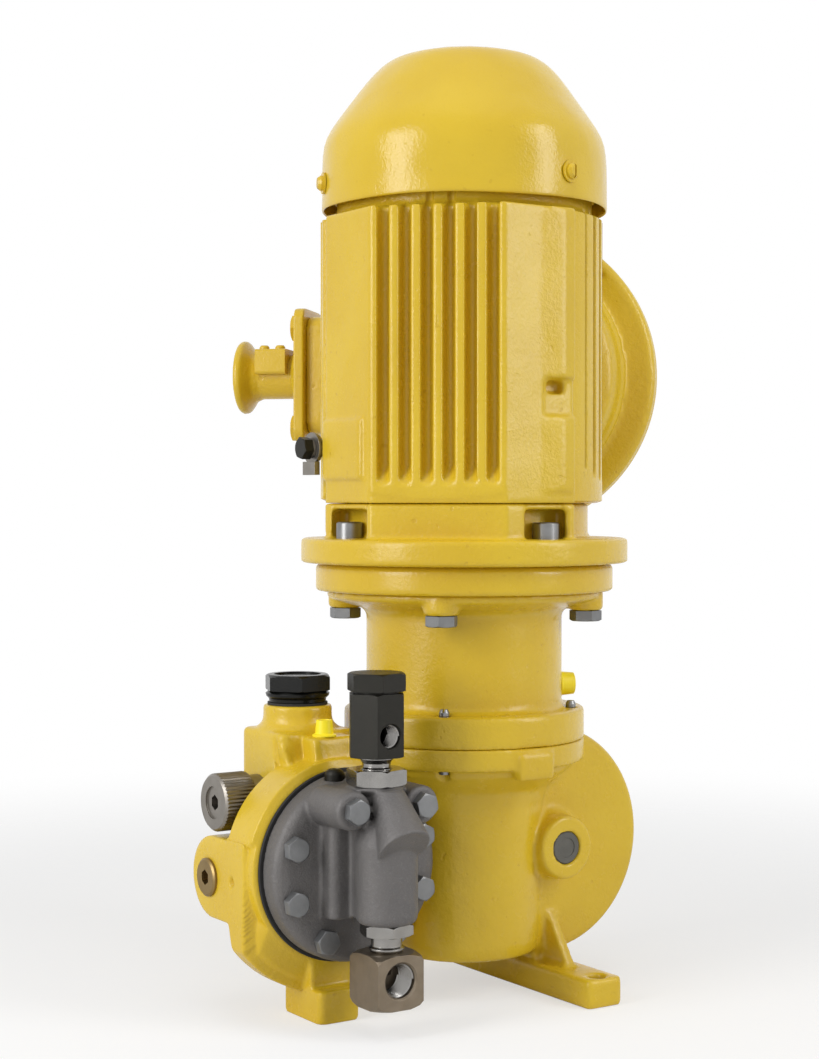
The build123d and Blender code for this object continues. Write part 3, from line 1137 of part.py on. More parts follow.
def build():
    save("gear_housing", gear_housing())
    save("displacement_chamber", displacement_chamber())
    save("coupling_lantern", coupling_lantern())
    save("adapter_ring", adapter_ring())
    save("motor_flange_shield", motor_flange_shield())
    save("motor_frame", motor_frame())
    save("fan_end_shield", fan_end_shield())
    save("fan_cowl", fan_cowl())
    save("diaphragm_head", diaphragm_head())
    save("head_gasket", head_gasket())
    save("diaphragm", diaphragm())
    save("contour_plate", contour_plate())
    save("head_bolts", head_bolts())
    save("lock_nuts", lock_nuts())
    save("pipe_nipples", pipe_nipples())
    save("suction_valve_body", suction_valve_body())
    save("discharge_valve_body", discharge_valve_body())
    save("discharge_cap", discharge_cap())
    save("valve_seats", valve_seats())
    save("suction_ball", valve_ball(SUCTION_Y, SUCTION_SEAT_TOP))
    save("discharge_ball", valve_ball(DISCHARGE_Y, DISCHARGE_SEAT_TOP))
    save("oil_cap", oil_cap())
    save("oil_cap_seal", oil_cap_seal())
    save("vent_plug", vent_plug())
    save("lantern_plug", lantern_plug())
    save("sight_plug", sight_plug())
    save("side_plug", side_plug())
    save("air_bleed", air_bleed())
    save("knob_bushing", knob_bushing())
    save("adjusting_knob", adjusting_knob())
    save("adjusting_stem", adjusting_stem())
    save("plunger_liner", plunger_liner())
    save("crosshead", crosshead())
    save("plunger", plunger())
    save("worm_shaft", worm_shaft())
    save("worm_wheel", worm_wheel())
    save("eccentric_shaft", eccentric_shaft())
    save("worm_bearings", worm_bearings())
    save("wheel_bearings", wheel_bearings())
    save("motor_bearings", motor_bearings())
    save("stator_core", stator_core())
    save("stator_windings", stator_windings())
    save("rotor_core", rotor_core())
    save("motor_shaft", motor_shaft())
    save("cooling_fan", cooling_fan())
    save("coupling_hubs", coupling_hubs())
    save("coupling_spider", coupling_spider())
    save("terminal_box", terminal_box())
    save("terminal_box_cover", terminal_box_cover())
    save("terminal_cover_screws", terminal_cover_screws())
    save("gland_plate", gland_plate())
    save("cable_gland", cable_gland())
    save("gland_clamp", gland_clamp())
    save("gland_screws", gland_screws())
    save("cowl_screws", cowl_screws())
    save("flange_cap_screws", flange_cap_screws())
    save("lantern_bolts", lantern_bolts())
    save("housing_screws", housing_screws())
    save("earth_bolt", earth_bolt())
    save("earth_washers", earth_washers())


os.makedirs("parts", exist_ok=True)
build()
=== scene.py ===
"""Diaphragm metering pump: paint, metals, cast skins and studio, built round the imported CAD."""

import json
import math

import bmesh
import bpy
import numpy as np
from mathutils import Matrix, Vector, noise


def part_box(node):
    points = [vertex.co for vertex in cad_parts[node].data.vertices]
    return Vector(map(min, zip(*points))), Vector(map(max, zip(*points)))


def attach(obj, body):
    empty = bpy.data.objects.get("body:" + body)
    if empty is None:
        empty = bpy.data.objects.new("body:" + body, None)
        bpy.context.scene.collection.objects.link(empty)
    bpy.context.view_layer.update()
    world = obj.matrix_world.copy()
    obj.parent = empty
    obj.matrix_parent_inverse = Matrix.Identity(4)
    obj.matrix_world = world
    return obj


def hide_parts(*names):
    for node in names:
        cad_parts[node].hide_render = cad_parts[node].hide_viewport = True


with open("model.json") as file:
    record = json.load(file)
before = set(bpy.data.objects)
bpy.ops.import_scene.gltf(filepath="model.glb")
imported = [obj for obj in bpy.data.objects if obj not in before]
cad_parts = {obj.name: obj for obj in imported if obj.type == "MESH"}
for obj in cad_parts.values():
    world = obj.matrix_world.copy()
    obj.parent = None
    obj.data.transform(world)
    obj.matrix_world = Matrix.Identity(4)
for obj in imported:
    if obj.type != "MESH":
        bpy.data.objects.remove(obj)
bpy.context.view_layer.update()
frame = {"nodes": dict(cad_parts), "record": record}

MM = 0.001

# Where the parts stand, from the frame.
MOTOR_AXIS = Vector(((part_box("adapter_ring")[0].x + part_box("adapter_ring")[1].x) / 2, 0, 0))
HEAD_AXIS = Vector(((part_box("head_gasket")[0].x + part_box("head_gasket")[1].x) / 2, 0, 0))
HEAD_TO_MOTOR = (MOTOR_AXIS.x - HEAD_AXIS.x) / MM    # from axis to axis, in millimetres
SHAFT_HEIGHT = 89.0    # height of the plunger's and the head's axis in millimetres
ROUND_STEPS = 180      # steps round a turned form about the motor's axis

# ---------------------------------------------------------------- shader arithmetic


class Field:
    """A number or colour that varies over a surface; arithmetic on it adds its Math nodes."""

    def __init__(self, finish, socket):
        self.finish = finish
        self.socket = socket

    def _math(self, operation, first, second):
        return self.finish.node("Math", {"operation": operation}, {0: first, 1: second})

    def __add__(self, other):
        return self._math("ADD", self, other)

    def __radd__(self, other):
        return self._math("ADD", other, self)

    def __sub__(self, other):
        return self._math("SUBTRACT", self, other)

    def __rsub__(self, other):
        return self._math("SUBTRACT", other, self)

    def __mul__(self, other):
        return self._math("MULTIPLY", self, other)

    def __rmul__(self, other):
        return self._math("MULTIPLY", other, self)


class Finish:
    """A material whose nodes are added one by one; its lengths are in millimetres."""

    def __init__(self, name):
        self.material = bpy.data.materials.new(name)
        self.material.use_nodes = True
        self.tree = self.material.node_tree
        self.tree.nodes.clear()

    def node(self, kind, settings=None, inputs=None, output=0):
        """Adds a node: its settings first, then the values or links of its sockets."""
        made = self.tree.nodes.new("ShaderNode" + kind)
        for key, value in (settings or {}).items():
            setattr(made, key, value)
        for key, value in (inputs or {}).items():
            socket = made.inputs[key]
            if isinstance(value, Field):
                self.tree.links.new(value.socket, socket)
            else:
                socket.default_value = value
        return Field(self, made.outputs[output]) if len(made.outputs) else None

    def place(self):
        """The point of the surface in the frame, in metres."""
        return self.node("TexCoord", output=3)

    def grain(self, size, detail=2.0, roughness=0.5, stretch=None):
        """Noise from 0 to 1 whose features are about `size` millimetres across."""
        where = self.place()
        if stretch:
            where = self.node("Mapping", inputs={0: where, 3: stretch})
        sockets = {"Vector": where, "Scale": 1 / (size * MM)}
        sockets.update({"Detail": detail, "Roughness": roughness})
        return self.node("TexNoise", inputs=sockets)

    def between(self, value, low, high):
        """Rises from 0 to 1 as value goes from low to high."""
        sockets = {0: value, 1: low, 2: high}
        return self.node("MapRange", {"interpolation_type": "SMOOTHSTEP"}, sockets)

    def blend(self, factor, first, second):
        """Colour from first to second by factor."""
        sockets = {0: factor, 6: first, 7: second}
        return self.node("Mix", {"data_type": "RGBA"}, sockets, output=2)

    def bump(self, height, depth, below=None):
        """Normal of a surface whose height field is `depth` millimetres deep."""
        sockets = {"Strength": 1.0, "Distance": depth * MM, "Height": height}
        if below:
            sockets["Normal"] = below
        return self.node("Bump", inputs=sockets)

    def rounded_edges(self, radius):
        """Normal that softens sharp edges over `radius` millimetres."""
        return self.node("Bevel", {"samples": 6}, {"Radius": radius * MM})

    def surface(self, **sockets):
        """Closes the material with a Principled shader; underscores in names stand for spaces."""
        inputs = {name.replace("_", " "): value for name, value in sockets.items()}
        shader = self.node("BsdfPrincipled", inputs=inputs)
        self.node("OutputMaterial", inputs={0: shader})
        return self.material


def rgb(red, green, blue):
    """Linear colour from screen values of 0 to 255."""
    linear = []
    for level in (red, green, blue):
        share = level / 255
        linear.append(share / 12.92 if share <= 0.04045 else ((share + 0.055) / 1.055) ** 2.4)
    return (*linear, 1)


# ---------------------------------------------------------------- finishes

ENAMEL_BRIGHT = rgb(216, 183, 42)
ENAMEL_DEEP = rgb(208, 173, 36)
ENAMEL_WORN = rgb(188, 146, 30)


def enamel(name, peel_depth, sand_depth, wave_depth, gloss):
    """Signal-yellow gloss enamel: orange peel over the sand grain and slow waves of its casting."""
    f = Finish(name)
    patches = f.grain(70, detail=3)
    blotches = f.grain(9, detail=3)
    peel = f.grain(1.6, detail=1)
    sand = f.grain(3.4, detail=4, roughness=0.7)
    pits = f.between(f.grain(5, detail=1), 0.72, 0.8)
    waves = f.grain(26, detail=1)
    colour = f.blend(f.between(patches, 0.3, 0.75), ENAMEL_BRIGHT, ENAMEL_DEEP)
    colour = f.blend(f.between(blotches, 0.6, 0.95) * 0.25, colour, ENAMEL_WORN)
    colour = f.blend(pits * 0.3, colour, ENAMEL_WORN)
    normal = f.bump(waves, wave_depth)
    normal = f.bump(sand - pits * 0.5, sand_depth, normal)
    normal = f.bump(peel, peel_depth, normal)
    return f.surface(
        Base_Color=colour,
        Roughness=gloss + blotches * 0.12,
        Normal=normal,
        Specular_IOR_Level=0.38,
        Coat_Weight=0.12,
        Coat_Roughness=0.1,
    )


def graphite_casting(name):
    """Bare grey sand casting with a fine, slightly glittering grain."""
    f = Finish(name)
    grit = f.grain(0.9, detail=3, roughness=0.75)
    sand = f.grain(2.6, detail=4, roughness=0.7)
    clouds = f.grain(24, detail=3)
    colour = f.blend(clouds, rgb(88, 86, 86), rgb(116, 113, 111))
    colour = f.blend(f.between(grit, 0.5, 0.8) * 0.45, colour, rgb(142, 140, 139))
    normal = f.bump(sand, 0.5)
    normal = f.bump(grit, 0.22, normal)
    return f.surface(
        Base_Color=colour,
        Metallic=0.35 + grit * 0.2,
        Roughness=0.42 + sand * 0.25,
        Normal=normal,
    )


def plain_metal(name, dark, light, roughness, grain, depth, metallic=1.0, edge=0.35, stretch=None):
    """Worked metal: a fine machining or plating grain, faint stains and softened edges."""
    f = Finish(name)
    fine = f.grain(grain, detail=2, stretch=stretch)
    stains = f.grain(8, detail=3)
    colour = f.blend(stains, dark, light)
    normal = f.bump(fine, depth, f.rounded_edges(edge))
    return f.surface(
        Base_Color=colour,
        Metallic=metallic,
        Roughness=roughness + stains * 0.14 + fine * 0.06,
        Normal=normal,
    )


def moulded_plastic(name, dark, light, roughness, texture_depth, coat=0.0, specular=0.5):
    """Injection-moulded plastic with a faint mould texture."""
    f = Finish(name)
    texture = f.grain(0.7, detail=2)
    clouds = f.grain(6, detail=2)
    normal = f.bump(texture, texture_depth, f.rounded_edges(0.4))
    return f.surface(
        Base_Color=f.blend(clouds, dark, light),
        Roughness=roughness + texture * 0.1,
        Normal=normal,
        Coat_Weight=coat,
        Specular_IOR_Level=specular,
    )


# How the grain runs: round a turned piece, and along a stack of sheets.
TURNED = (1, 1, 14)
STACKED = (0.1, 0.1, 2)

SLOT_FINISHES = {
    "yellow_casting": enamel(
        "enamel_on_casting", peel_depth=0.10, sand_depth=0.34, wave_depth=0.9, gloss=0.2
    ),
    "yellow_machined": enamel(
        "enamel_on_machined", peel_depth=0.10, sand_depth=0.08, wave_depth=0.3, gloss=0.2
    ),
    "yellow_sheet": enamel(
        "enamel_on_sheet", peel_depth=0.16, sand_depth=0.12, wave_depth=1.4, gloss=0.15
    ),
    "head_casting": graphite_casting("graphite_casting"),
    "zinc_bolt": plain_metal(
        "zinc_plate", rgb(104, 105, 106), rgb(136, 137, 138),
        roughness=0.34, grain=0.9, depth=0.07, metallic=0.75, edge=0.5,
    ),
    "black_oxide": plain_metal(
        "black_oxide", rgb(24, 23, 18), rgb(36, 34, 28),
        roughness=0.3, grain=0.5, depth=0.05, metallic=0.6, edge=0.4, stretch=TURNED,
    ),
    "stainless_block": plain_metal(
        "turned_stainless", rgb(112, 100, 84), rgb(142, 130, 114),
        roughness=0.3, grain=0.5, depth=0.06, metallic=0.9, edge=0.4, stretch=TURNED,
    ),
    "polished_steel": plain_metal(
        "polished_steel", rgb(128, 126, 124), rgb(166, 164, 160),
        roughness=0.1, grain=0.6, depth=0.02, edge=0.3, stretch=TURNED,
    ),
    "steel": plain_metal(
        "ground_steel", rgb(122, 117, 110), rgb(150, 145, 138),
        roughness=0.26, grain=0.5, depth=0.03,
    ),
    "socket_steel": plain_metal(
        "bright_plated_steel", rgb(112, 112, 112), rgb(150, 150, 150),
        roughness=0.22, grain=0.5, depth=0.03,
    ),
    "bronze": plain_metal(
        "bronze", rgb(170, 120, 60), rgb(204, 154, 86), roughness=0.3, grain=0.6, depth=0.04
    ),
    "copper": plain_metal(
        "varnished_copper", rgb(168, 84, 40), rgb(206, 120, 66), roughness=0.3, grain=1.2, depth=0.2
    ),
    "lamination": plain_metal(
        "laminations", rgb(104, 104, 108), rgb(140, 140, 144),
        roughness=0.45, grain=0.6, depth=0.1, stretch=STACKED,
    ),
    "aluminium": plain_metal(
        "die_cast_aluminium", rgb(176, 177, 180), rgb(206, 206, 208),
        roughness=0.4, grain=1.5, depth=0.08,
    ),
    "black_rubber": moulded_plastic(
        "black_rubber", rgb(22, 22, 22), rgb(34, 33, 32), roughness=0.65, texture_depth=0.05
    ),
    "white_ptfe": moulded_plastic(
        "white_ptfe", rgb(222, 222, 216), rgb(238, 238, 234), roughness=0.42, texture_depth=0.03
    ),
    "black_plastic": moulded_plastic(
        "gloss_black_plastic", rgb(12, 13, 11), rgb(20, 20, 18),
        roughness=0.2, texture_depth=0.02, coat=0.05, specular=0.2,
    ),
    "lemon_plastic": moulded_plastic(
        "lemon_plastic", rgb(250, 226, 20), rgb(255, 238, 48), roughness=0.35, texture_depth=0.03
    ),
    "grey_plug": moulded_plastic(
        "dark_grey_plug", rgb(72, 72, 66), rgb(96, 94, 88), roughness=0.5, texture_depth=0.12
    ),
    "zinc_yellow": plain_metal(
        "yellow_chromate", rgb(126, 104, 66), rgb(158, 136, 92),
        roughness=0.3, grain=0.6, depth=0.04,
    ),
}

# The material slot of each CAD node, as the record gives it.
SLOTS = {part["node"]: part["material_slot"] for part in frame["record"]["subparts"]}


def dress(obj, slot):
    """Gives an object the finish of a material slot."""
    obj.data.materials.clear()
    obj.data.materials.append(SLOT_FINISHES[slot])


for cad_name, cad_node in frame["nodes"].items():
    dress(cad_node, SLOTS[cad_name])


# ---------------------------------------------------------------- mesh helpers

def mesh_from(name, bm):
    """A mesh that takes over what a bmesh holds."""
    mesh = bpy.data.meshes.new(name)
    bm.to_mesh(mesh)
    bm.free()
    return mesh


def modified_copy(source, name, modifiers):
    """A new object with the source mesh after the given modifiers."""
    draft = bpy.data.objects.new(name, source.copy())
    bpy.context.scene.collection.objects.link(draft)
    for kind, settings in modifiers:
        modifier = draft.modifiers.new(kind.lower(), kind)
        for key, value in settings.items():
            setattr(modifier, key, value)
    bpy.context.view_layer.update()
    graph = bpy.context.evaluated_depsgraph_get()
    mesh = bpy.data.meshes.new_from_object(draft.evaluated_get(graph))
    bpy.data.objects.remove(draft)
    made = bpy.data.objects.new(name, mesh)
    bpy.context.scene.collection.objects.link(made)
    return made


def read_points(mesh):
    """The mesh's points in metres, one row each."""
    points = np.empty(len(mesh.vertices) * 3, np.float32)
    mesh.vertices.foreach_get("co", points)
    return points.reshape(-1, 3)


def write_points(mesh, points):
    """Moves the mesh's points to the given rows."""
    mesh.vertices.foreach_set("co", points.astype(np.float32).ravel())
    mesh.update()


def keep_inside(made, node_name):
    """Pulls points that stand outside the node's own box back to it."""
    low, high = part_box(node_name)
    write_points(made.data, np.clip(read_points(made.data), np.array(low), np.array(high)))


def edit_points(made, change):
    """Gives the points, in millimetres from the motor's axis, to a function that moves them."""
    axis = np.array(MOTOR_AXIS, np.float32)
    points = change((read_points(made.data) - axis) / MM)
    write_points(made.data, points * MM + axis)


def prism(outline, low, high):
    """Upright prism over a plan outline given in millimetres from the motor's axis."""
    bm = bmesh.new()
    corners = [bm.verts.new((MOTOR_AXIS.x + x * MM, y * MM, low * MM)) for x, y in outline]
    base = bm.faces.new(corners)
    raised = bmesh.ops.extrude_face_region(bm, geom=[base])
    moved = [item for item in raised["geom"] if isinstance(item, bmesh.types.BMVert)]
    bmesh.ops.translate(bm, verts=moved, vec=(0, 0, (high - low) * MM))
    bmesh.ops.recalc_face_normals(bm, faces=bm.faces)
    return bm


def turned_ring(profile):
    """Closed ring turned about the motor's axis from (radius, height) corners in millimetres."""
    bm = bmesh.new()
    rings = []
    for step in range(ROUND_STEPS):
        angle = step * math.tau / ROUND_STEPS
        spoke = Vector((math.cos(angle), math.sin(angle), 0))
        rings.append([bm.verts.new(MOTOR_AXIS + (spoke * radius + Vector((0, 0, height))) * MM)
                      for radius, height in profile])
    for step, ring in enumerate(rings):
        ahead = rings[(step + 1) % ROUND_STEPS]
        for index in range(len(profile)):
            beside = (index + 1) % len(profile)
            bm.faces.new((ring[index], ahead[index], ahead[beside], ring[beside]))
    bmesh.ops.recalc_face_normals(bm, faces=bm.faces)
    return bm


def joined(name, base, forms):
    """Mesh that holds a base mesh, if any, and extra closed forms."""
    bm = bmesh.new()
    if base:
        bm.from_mesh(base)
    for form in forms:
        extra = mesh_from(name + "_form", form)
        bm.from_mesh(extra)
        bpy.data.meshes.remove(extra)
    return mesh_from(name, bm)


# ---------------------------------------------------------------- motor frame and flange shield

# Plan of the frame and its flange shield, in millimetres from the motor's axis.
FACET = 90.0           # plain sides of the frame
SHIELD_FACET = 89.5    # plain sides of the shield's lobes
CROWN_FACET = 88.0     # plain sides of the shield's upper edge
LOBE_NEAR = 33.0       # ends of the plain sides: beside the fins that face the head,
LOBE_FAR = 17.0        # and beside the foot-rail recesses
LOBE_HOLLOW = 25       # corners of the lobes' inner side
RECESS_R = 84.5        # the finned sides past the recesses stay within this radius,
BACK_R = 88.0          # or this one behind the foot rail
BACK_FROM = 31
RECESS_FROM = 15       # the recesses start this far past the axis
SPIGOT_R = 78.0        # neck that the cowl stands on
FIN_BAND = 39          # half the width of the fins that face the head
FIN_ROOT, FIN_TIP = 72, 88
VALLEY_SHARE = 0.72    # depth of the fins' grooves in the painted casting

# Heights in millimetres.
RIM_BASE, RIM_TOP = 298.2, 307
LOBE_BASE, LOBE_TOP = 276, 298
CROWN_BASE = 294.5
FIN_END = 470
FRAME_TOP = 470.5

# Mounting flange and bearing ring of the shield as (radius, height).
FLANGE_PROFILE = (
    (62, 260), (99, 262), (100, 263), (100, 275.5), (98.5, 277), (77, 277.6), (75.8, 279),
    (75.8, LOBE_TOP), (62, LOBE_TOP),
)


def lobe_plan(outer, inner):
    """Plan of the lobe behind two plain sides and the slope between them."""
    return [(-outer, LOBE_FAR), (-outer, -LOBE_NEAR), (-LOBE_NEAR, -outer), (LOBE_FAR, -outer),
            (LOBE_FAR, -inner), (-LOBE_HOLLOW, -inner), (-inner, -LOBE_HOLLOW), (-inner, LOBE_FAR)]


def frame_forms():
    """The frame's lower rim, which runs straight down to the drive end shield."""
    return [prism(lobe_plan(FACET, 70), RIM_BASE, RIM_TOP)]


def shield_forms():
    """Mounting flange, bearing ring and the lobes between the niches of the cap screws."""
    front = [(-SHIELD_FACET, -30), (-SHIELD_FACET, -LOBE_NEAR), (-LOBE_NEAR, -SHIELD_FACET),
             (-20, -SHIELD_FACET), (-14, -74), (-14, -66), (-66, -14), (-74, -14)]
    left = [(-SHIELD_FACET, 9.5), (-SHIELD_FACET, LOBE_FAR), (-68, LOBE_FAR), (-68, 15), (-80, 15)]
    right = [(y, x) for x, y in left]
    lobes = [prism(plan, LOBE_BASE, LOBE_TOP) for plan in (front, left, right)]
    crown = prism(lobe_plan(CROWN_FACET, 66), CROWN_BASE, LOBE_TOP)
    return [turned_ring(FLANGE_PROFILE), *lobes, crown]


def frame_points(points):
    """Recesses beside the foot rails, and fins with shallower, rounded grooves."""
    x, y = points[:, 0], points[:, 1]
    radius = np.hypot(x, y)
    recessed = ((x > LOBE_FAR) & (y < -RECESS_FROM)) | ((x < -RECESS_FROM) & (y > LOBE_FAR))
    limit = np.where((x < 0) & (y > BACK_FROM), BACK_R, RECESS_R)
    limit = np.where((points[:, 2] > FRAME_TOP) & (radius > SPIGOT_R), SPIGOT_R, limit)
    recessed |= points[:, 2] > FRAME_TOP
    shrink = np.where(recessed & (radius > limit), limit / radius, 1)
    points[:, 0] = x * shrink
    points[:, 1] = y * shrink
    along = np.abs(points[:, 0] - points[:, 1]) / math.sqrt(2)
    out = -(points[:, 0] + points[:, 1]) / math.sqrt(2)
    grooved = (along < FIN_BAND) & (out > FIN_ROOT) & (out < FIN_TIP) & (points[:, 2] < FIN_END)
    lift = np.where(grooved, (FIN_TIP - out) * (1 - VALLEY_SHARE) / math.sqrt(2), 0)
    points[:, 0] -= lift
    points[:, 1] -= lift
    return points


# ---------------------------------------------------------------- displacement chamber

# The chamber's ring, in millimetres from the head's axis.
LEFT_FACE = -60.0      # machined left face
PLUG_FACE = (-33.0, 16.5)    # heights of the block with the D shaped end
KNOB_SIDE_R = 61.0     # radius of the slim ring beside the knob
FRONT_R = 58.5         # radius of the ring's front edge at the plug block,
FRONT_SLOPE = 0.8      # and how fast it grows below the block
FRONT_EDGE = -11.3     # Y behind which the front edge ends
FOOT_R = 80.0          # furthest reach of the ring above the feet
FEET_FROM = 74         # what is further out below the plug block belongs to the feet
FLARE, FLARE_RUN = 0.055, 12    # how much the ring widens below the block, over what height
DRILLING = (4.2, -8.6)          # Y and Z of the small hole in the left face
DRILLING_R, DRILLING_DEPTH = 1.9, 4


def chamber_points(points):
    """Chamber ring: slim beside the knob, stepped at the plug block and flared towards the foot."""
    x = points[:, 0] + HEAD_TO_MOTOR
    y = points[:, 1]
    z = points[:, 2] - SHAFT_HEIGHT
    radius = np.hypot(x, z)
    low, high = PLUG_FACE
    tower = ((np.abs(x) < 15.5) & (z > 31) & (y > -13.6)) | ((y > 1.5) & (x > -28) & (z > -30))
    ring = (y < 10) & (x < 22) & ~tower & ((radius < FEET_FROM) | (z > low))
    limit = np.where(z > high, KNOB_SIDE_R, FOOT_R)
    front = np.where(z < low, FRONT_R + FRONT_SLOPE * (low - z), FRONT_R)
    at_front = (z <= high) & (x < 0) & (y < FRONT_EDGE)
    limit = np.where(at_front, np.minimum(front, FOOT_R), limit)
    flared = (z < low) & (y > FRONT_EDGE) & (radius > 60)
    flare = np.where(flared, 1 + FLARE * np.clip((low - z) / FLARE_RUN, 0, 1), 1)
    grown = np.where(ring, radius * flare, radius)
    grown = np.where(ring & (grown > limit), limit, grown)
    share = grown / np.maximum(radius, 1e-6)
    x = np.maximum(x * share, LEFT_FACE)
    z = z * share
    drilled = (x < LEFT_FACE + 1) & (np.hypot(y - DRILLING[0], z - DRILLING[1]) < DRILLING_R)
    points[:, 0] = np.where(drilled, x + DRILLING_DEPTH, x) - HEAD_TO_MOTOR
    points[:, 2] = z + SHAFT_HEIGHT
    return points


# ---------------------------------------------------------------- cast skins

# A casting's extra forms, with whether they add to the node's mesh or stand for all of it.
ADDED_FORMS = {"motor_frame": (True, frame_forms), "motor_flange_shield": (False, shield_forms)}
POINT_EDITS = {"motor_frame": frame_points, "displacement_chamber": chamber_points}

# Voxel size in millimetres and smoothing rounds for each casting.
CAST_SKINS = {
    "gear_housing": (1.5, 4),
    "displacement_chamber": (1.2, 4),
    "coupling_lantern": (1.6, 3),
    "motor_frame": (1.4, 3),
    "motor_flange_shield": (1.4, 3),
    "adapter_ring": (1.4, 2),
    "diaphragm_head": (0.9, 5),
    "terminal_box": (2.0, 3),
    "terminal_box_cover": (1.8, 3),
    "cable_gland": (0.9, 4),
    "gland_plate": (1.0, 3),
}


def cast_skin(node_name, voxel, rounds):
    """Skin of a casting: the node's shape with its edges melted round by sand and paint."""
    remesh = ("REMESH", {"mode": "VOXEL", "voxel_size": voxel * MM, "use_smooth_shade": True})
    soften = ("SMOOTH", {"factor": 0.5, "iterations": rounds})
    source = frame["nodes"][node_name].data
    if node_name in ADDED_FORMS:
        keeps_node, forms = ADDED_FORMS[node_name]
        source = joined(node_name + "_draft", source if keeps_node else None, forms())
    rough = modified_copy(source, node_name + "_rough", [remesh])
    if node_name in POINT_EDITS:
        edit_points(rough, POINT_EDITS[node_name])
    skin = modified_copy(rough.data, node_name + "_skin", [soften])
    bpy.data.objects.remove(rough)
    keep_inside(skin, node_name)
    dress(skin, SLOTS[node_name])
    skin.data.shade_smooth()
    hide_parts(node_name)
    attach(skin, "pump")


for casting, (casting_voxel, casting_rounds) in CAST_SKINS.items():
    cast_skin(casting, casting_voxel, casting_rounds)


# ---------------------------------------------------------------- fan cowl

SHEET = 1.6            # thickness of the cowl's sheet, in millimetres like all below
DOME_TOP = 574.5
DOME_DROP = 0.0034     # fall of the dome, times the radius squared
SINK = 0.35            # how far the worked sheet lies under its nominal shape,
SINK_SLOPE = 0.4       # and the downward share of that
HUB_SINK = 0.3
DENT_SCALE = 0.022     # soft dents per millimetre,
DENT_DEPTH = 0.7       # their depth,
DENT_END = 580         # and the height and run over which they die out
DENT_RUN = 20
SKIRT_END = 478        # below this height the sheet only waves up and down
SKIRT_WAVE = 0.35
SKIRT_WAVES = 5
# Rings of the dome, from its hub outwards.
DOME_RADII = (4, 7, 10, 14, 18, 22, 26, 30, 34, 38, 42, 46)
# Shoulder and skirt as (radius, height), from the dome to the lower edge.
COWL_SHOULDER = (
    (51, 564.2), (56, 559.6), (61.5, 553.2), (67.5, 545), (73.5, 536.8), (79.8, 528), (85.3, 519.4),
    (87.2, 510), (87.3, 496), (87.3, 484), (87.3, SKIRT_END), (87.3, 475.2),
)
# Rings of slots as inner radius, outer radius and number of slots.
SLOT_RINGS = ((10, 14, 6), (18, 22, 9), (26, 30, 15), (34, 38, 18))
SLOT_OPEN = (0.16, 0.84)    # the part of its share of the ring that a slot opens


def dome_height(radius):
    """Height of the cowl's dome over a radius."""
    return DOME_TOP - DOME_DROP * radius**2


def cowl_slot_at(radius, turn):
    """Whether the sheet is open at a radius and a share of a turn."""
    for inner, outer, count in SLOT_RINGS:
        if inner < radius < outer:
            return SLOT_OPEN[0] < (turn * count) % 1 < SLOT_OPEN[1]
    return False


def cowl_point(radius, height, angle):
    """A point of the sheet: slightly dented and sunk, and waved along the skirt's edge."""
    where = Vector((radius * math.cos(angle), radius * math.sin(angle), height))
    dent = noise.noise(where * DENT_SCALE) * DENT_DEPTH * min(1, (DENT_END - height) / DENT_RUN)
    if height > SKIRT_END:
        where -= Vector((math.cos(angle), math.sin(angle), SINK_SLOPE)) * (SINK + dent)
    else:
        where.z += SKIRT_WAVE + SKIRT_WAVE * math.sin(SKIRT_WAVES * angle + 1.0)
    return MOTOR_AXIS + where * MM


def cowl():
    """Fan cowl: one pressed sheet with a slotted dome, a soft shoulder and a straight skirt."""
    profile = [(radius, dome_height(radius)) for radius in DOME_RADII] + list(COWL_SHOULDER)
    bm = bmesh.new()
    rings = [[bm.verts.new(cowl_point(radius, height, step * math.tau / ROUND_STEPS))
              for step in range(ROUND_STEPS)]
             for radius, height in profile]
    hub = bm.verts.new(MOTOR_AXIS + Vector((0, 0, dome_height(0) - HUB_SINK)) * MM)
    for step in range(ROUND_STEPS):
        ahead = (step + 1) % ROUND_STEPS
        bm.faces.new((hub, rings[0][step], rings[0][ahead]))
        for index in range(len(rings) - 1):
            middle = (profile[index][0] + profile[index + 1][0]) / 2
            if cowl_slot_at(middle, (step + 0.5) / ROUND_STEPS):
                continue
            bm.faces.new((rings[index][step], rings[index + 1][step],
                          rings[index + 1][ahead], rings[index][ahead]))
    sheet = ("SOLIDIFY", {"thickness": SHEET * MM, "offset": -1})
    finer = ("SUBSURF", {"levels": 1, "render_levels": 1})
    made = modified_copy(mesh_from("cowl", bm), "fan_cowl_sheet", [sheet, finer])
    made.data.shade_smooth()
    dress(made, SLOTS["fan_cowl"])
    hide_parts("fan_cowl")
    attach(made, "pump")


cowl()


# ---------------------------------------------------------------- port threads

THREAD_STEPS = 72      # steps round one turn
THREAD_DEPTH = 0.62    # depth of a thread over its pitch
THREAD_START = 0.8     # how far behind the mouth the thread starts, in millimetres
THREAD_GAP = 0.15      # between the thread's valleys and the bore
THREAD_TURNS = 8


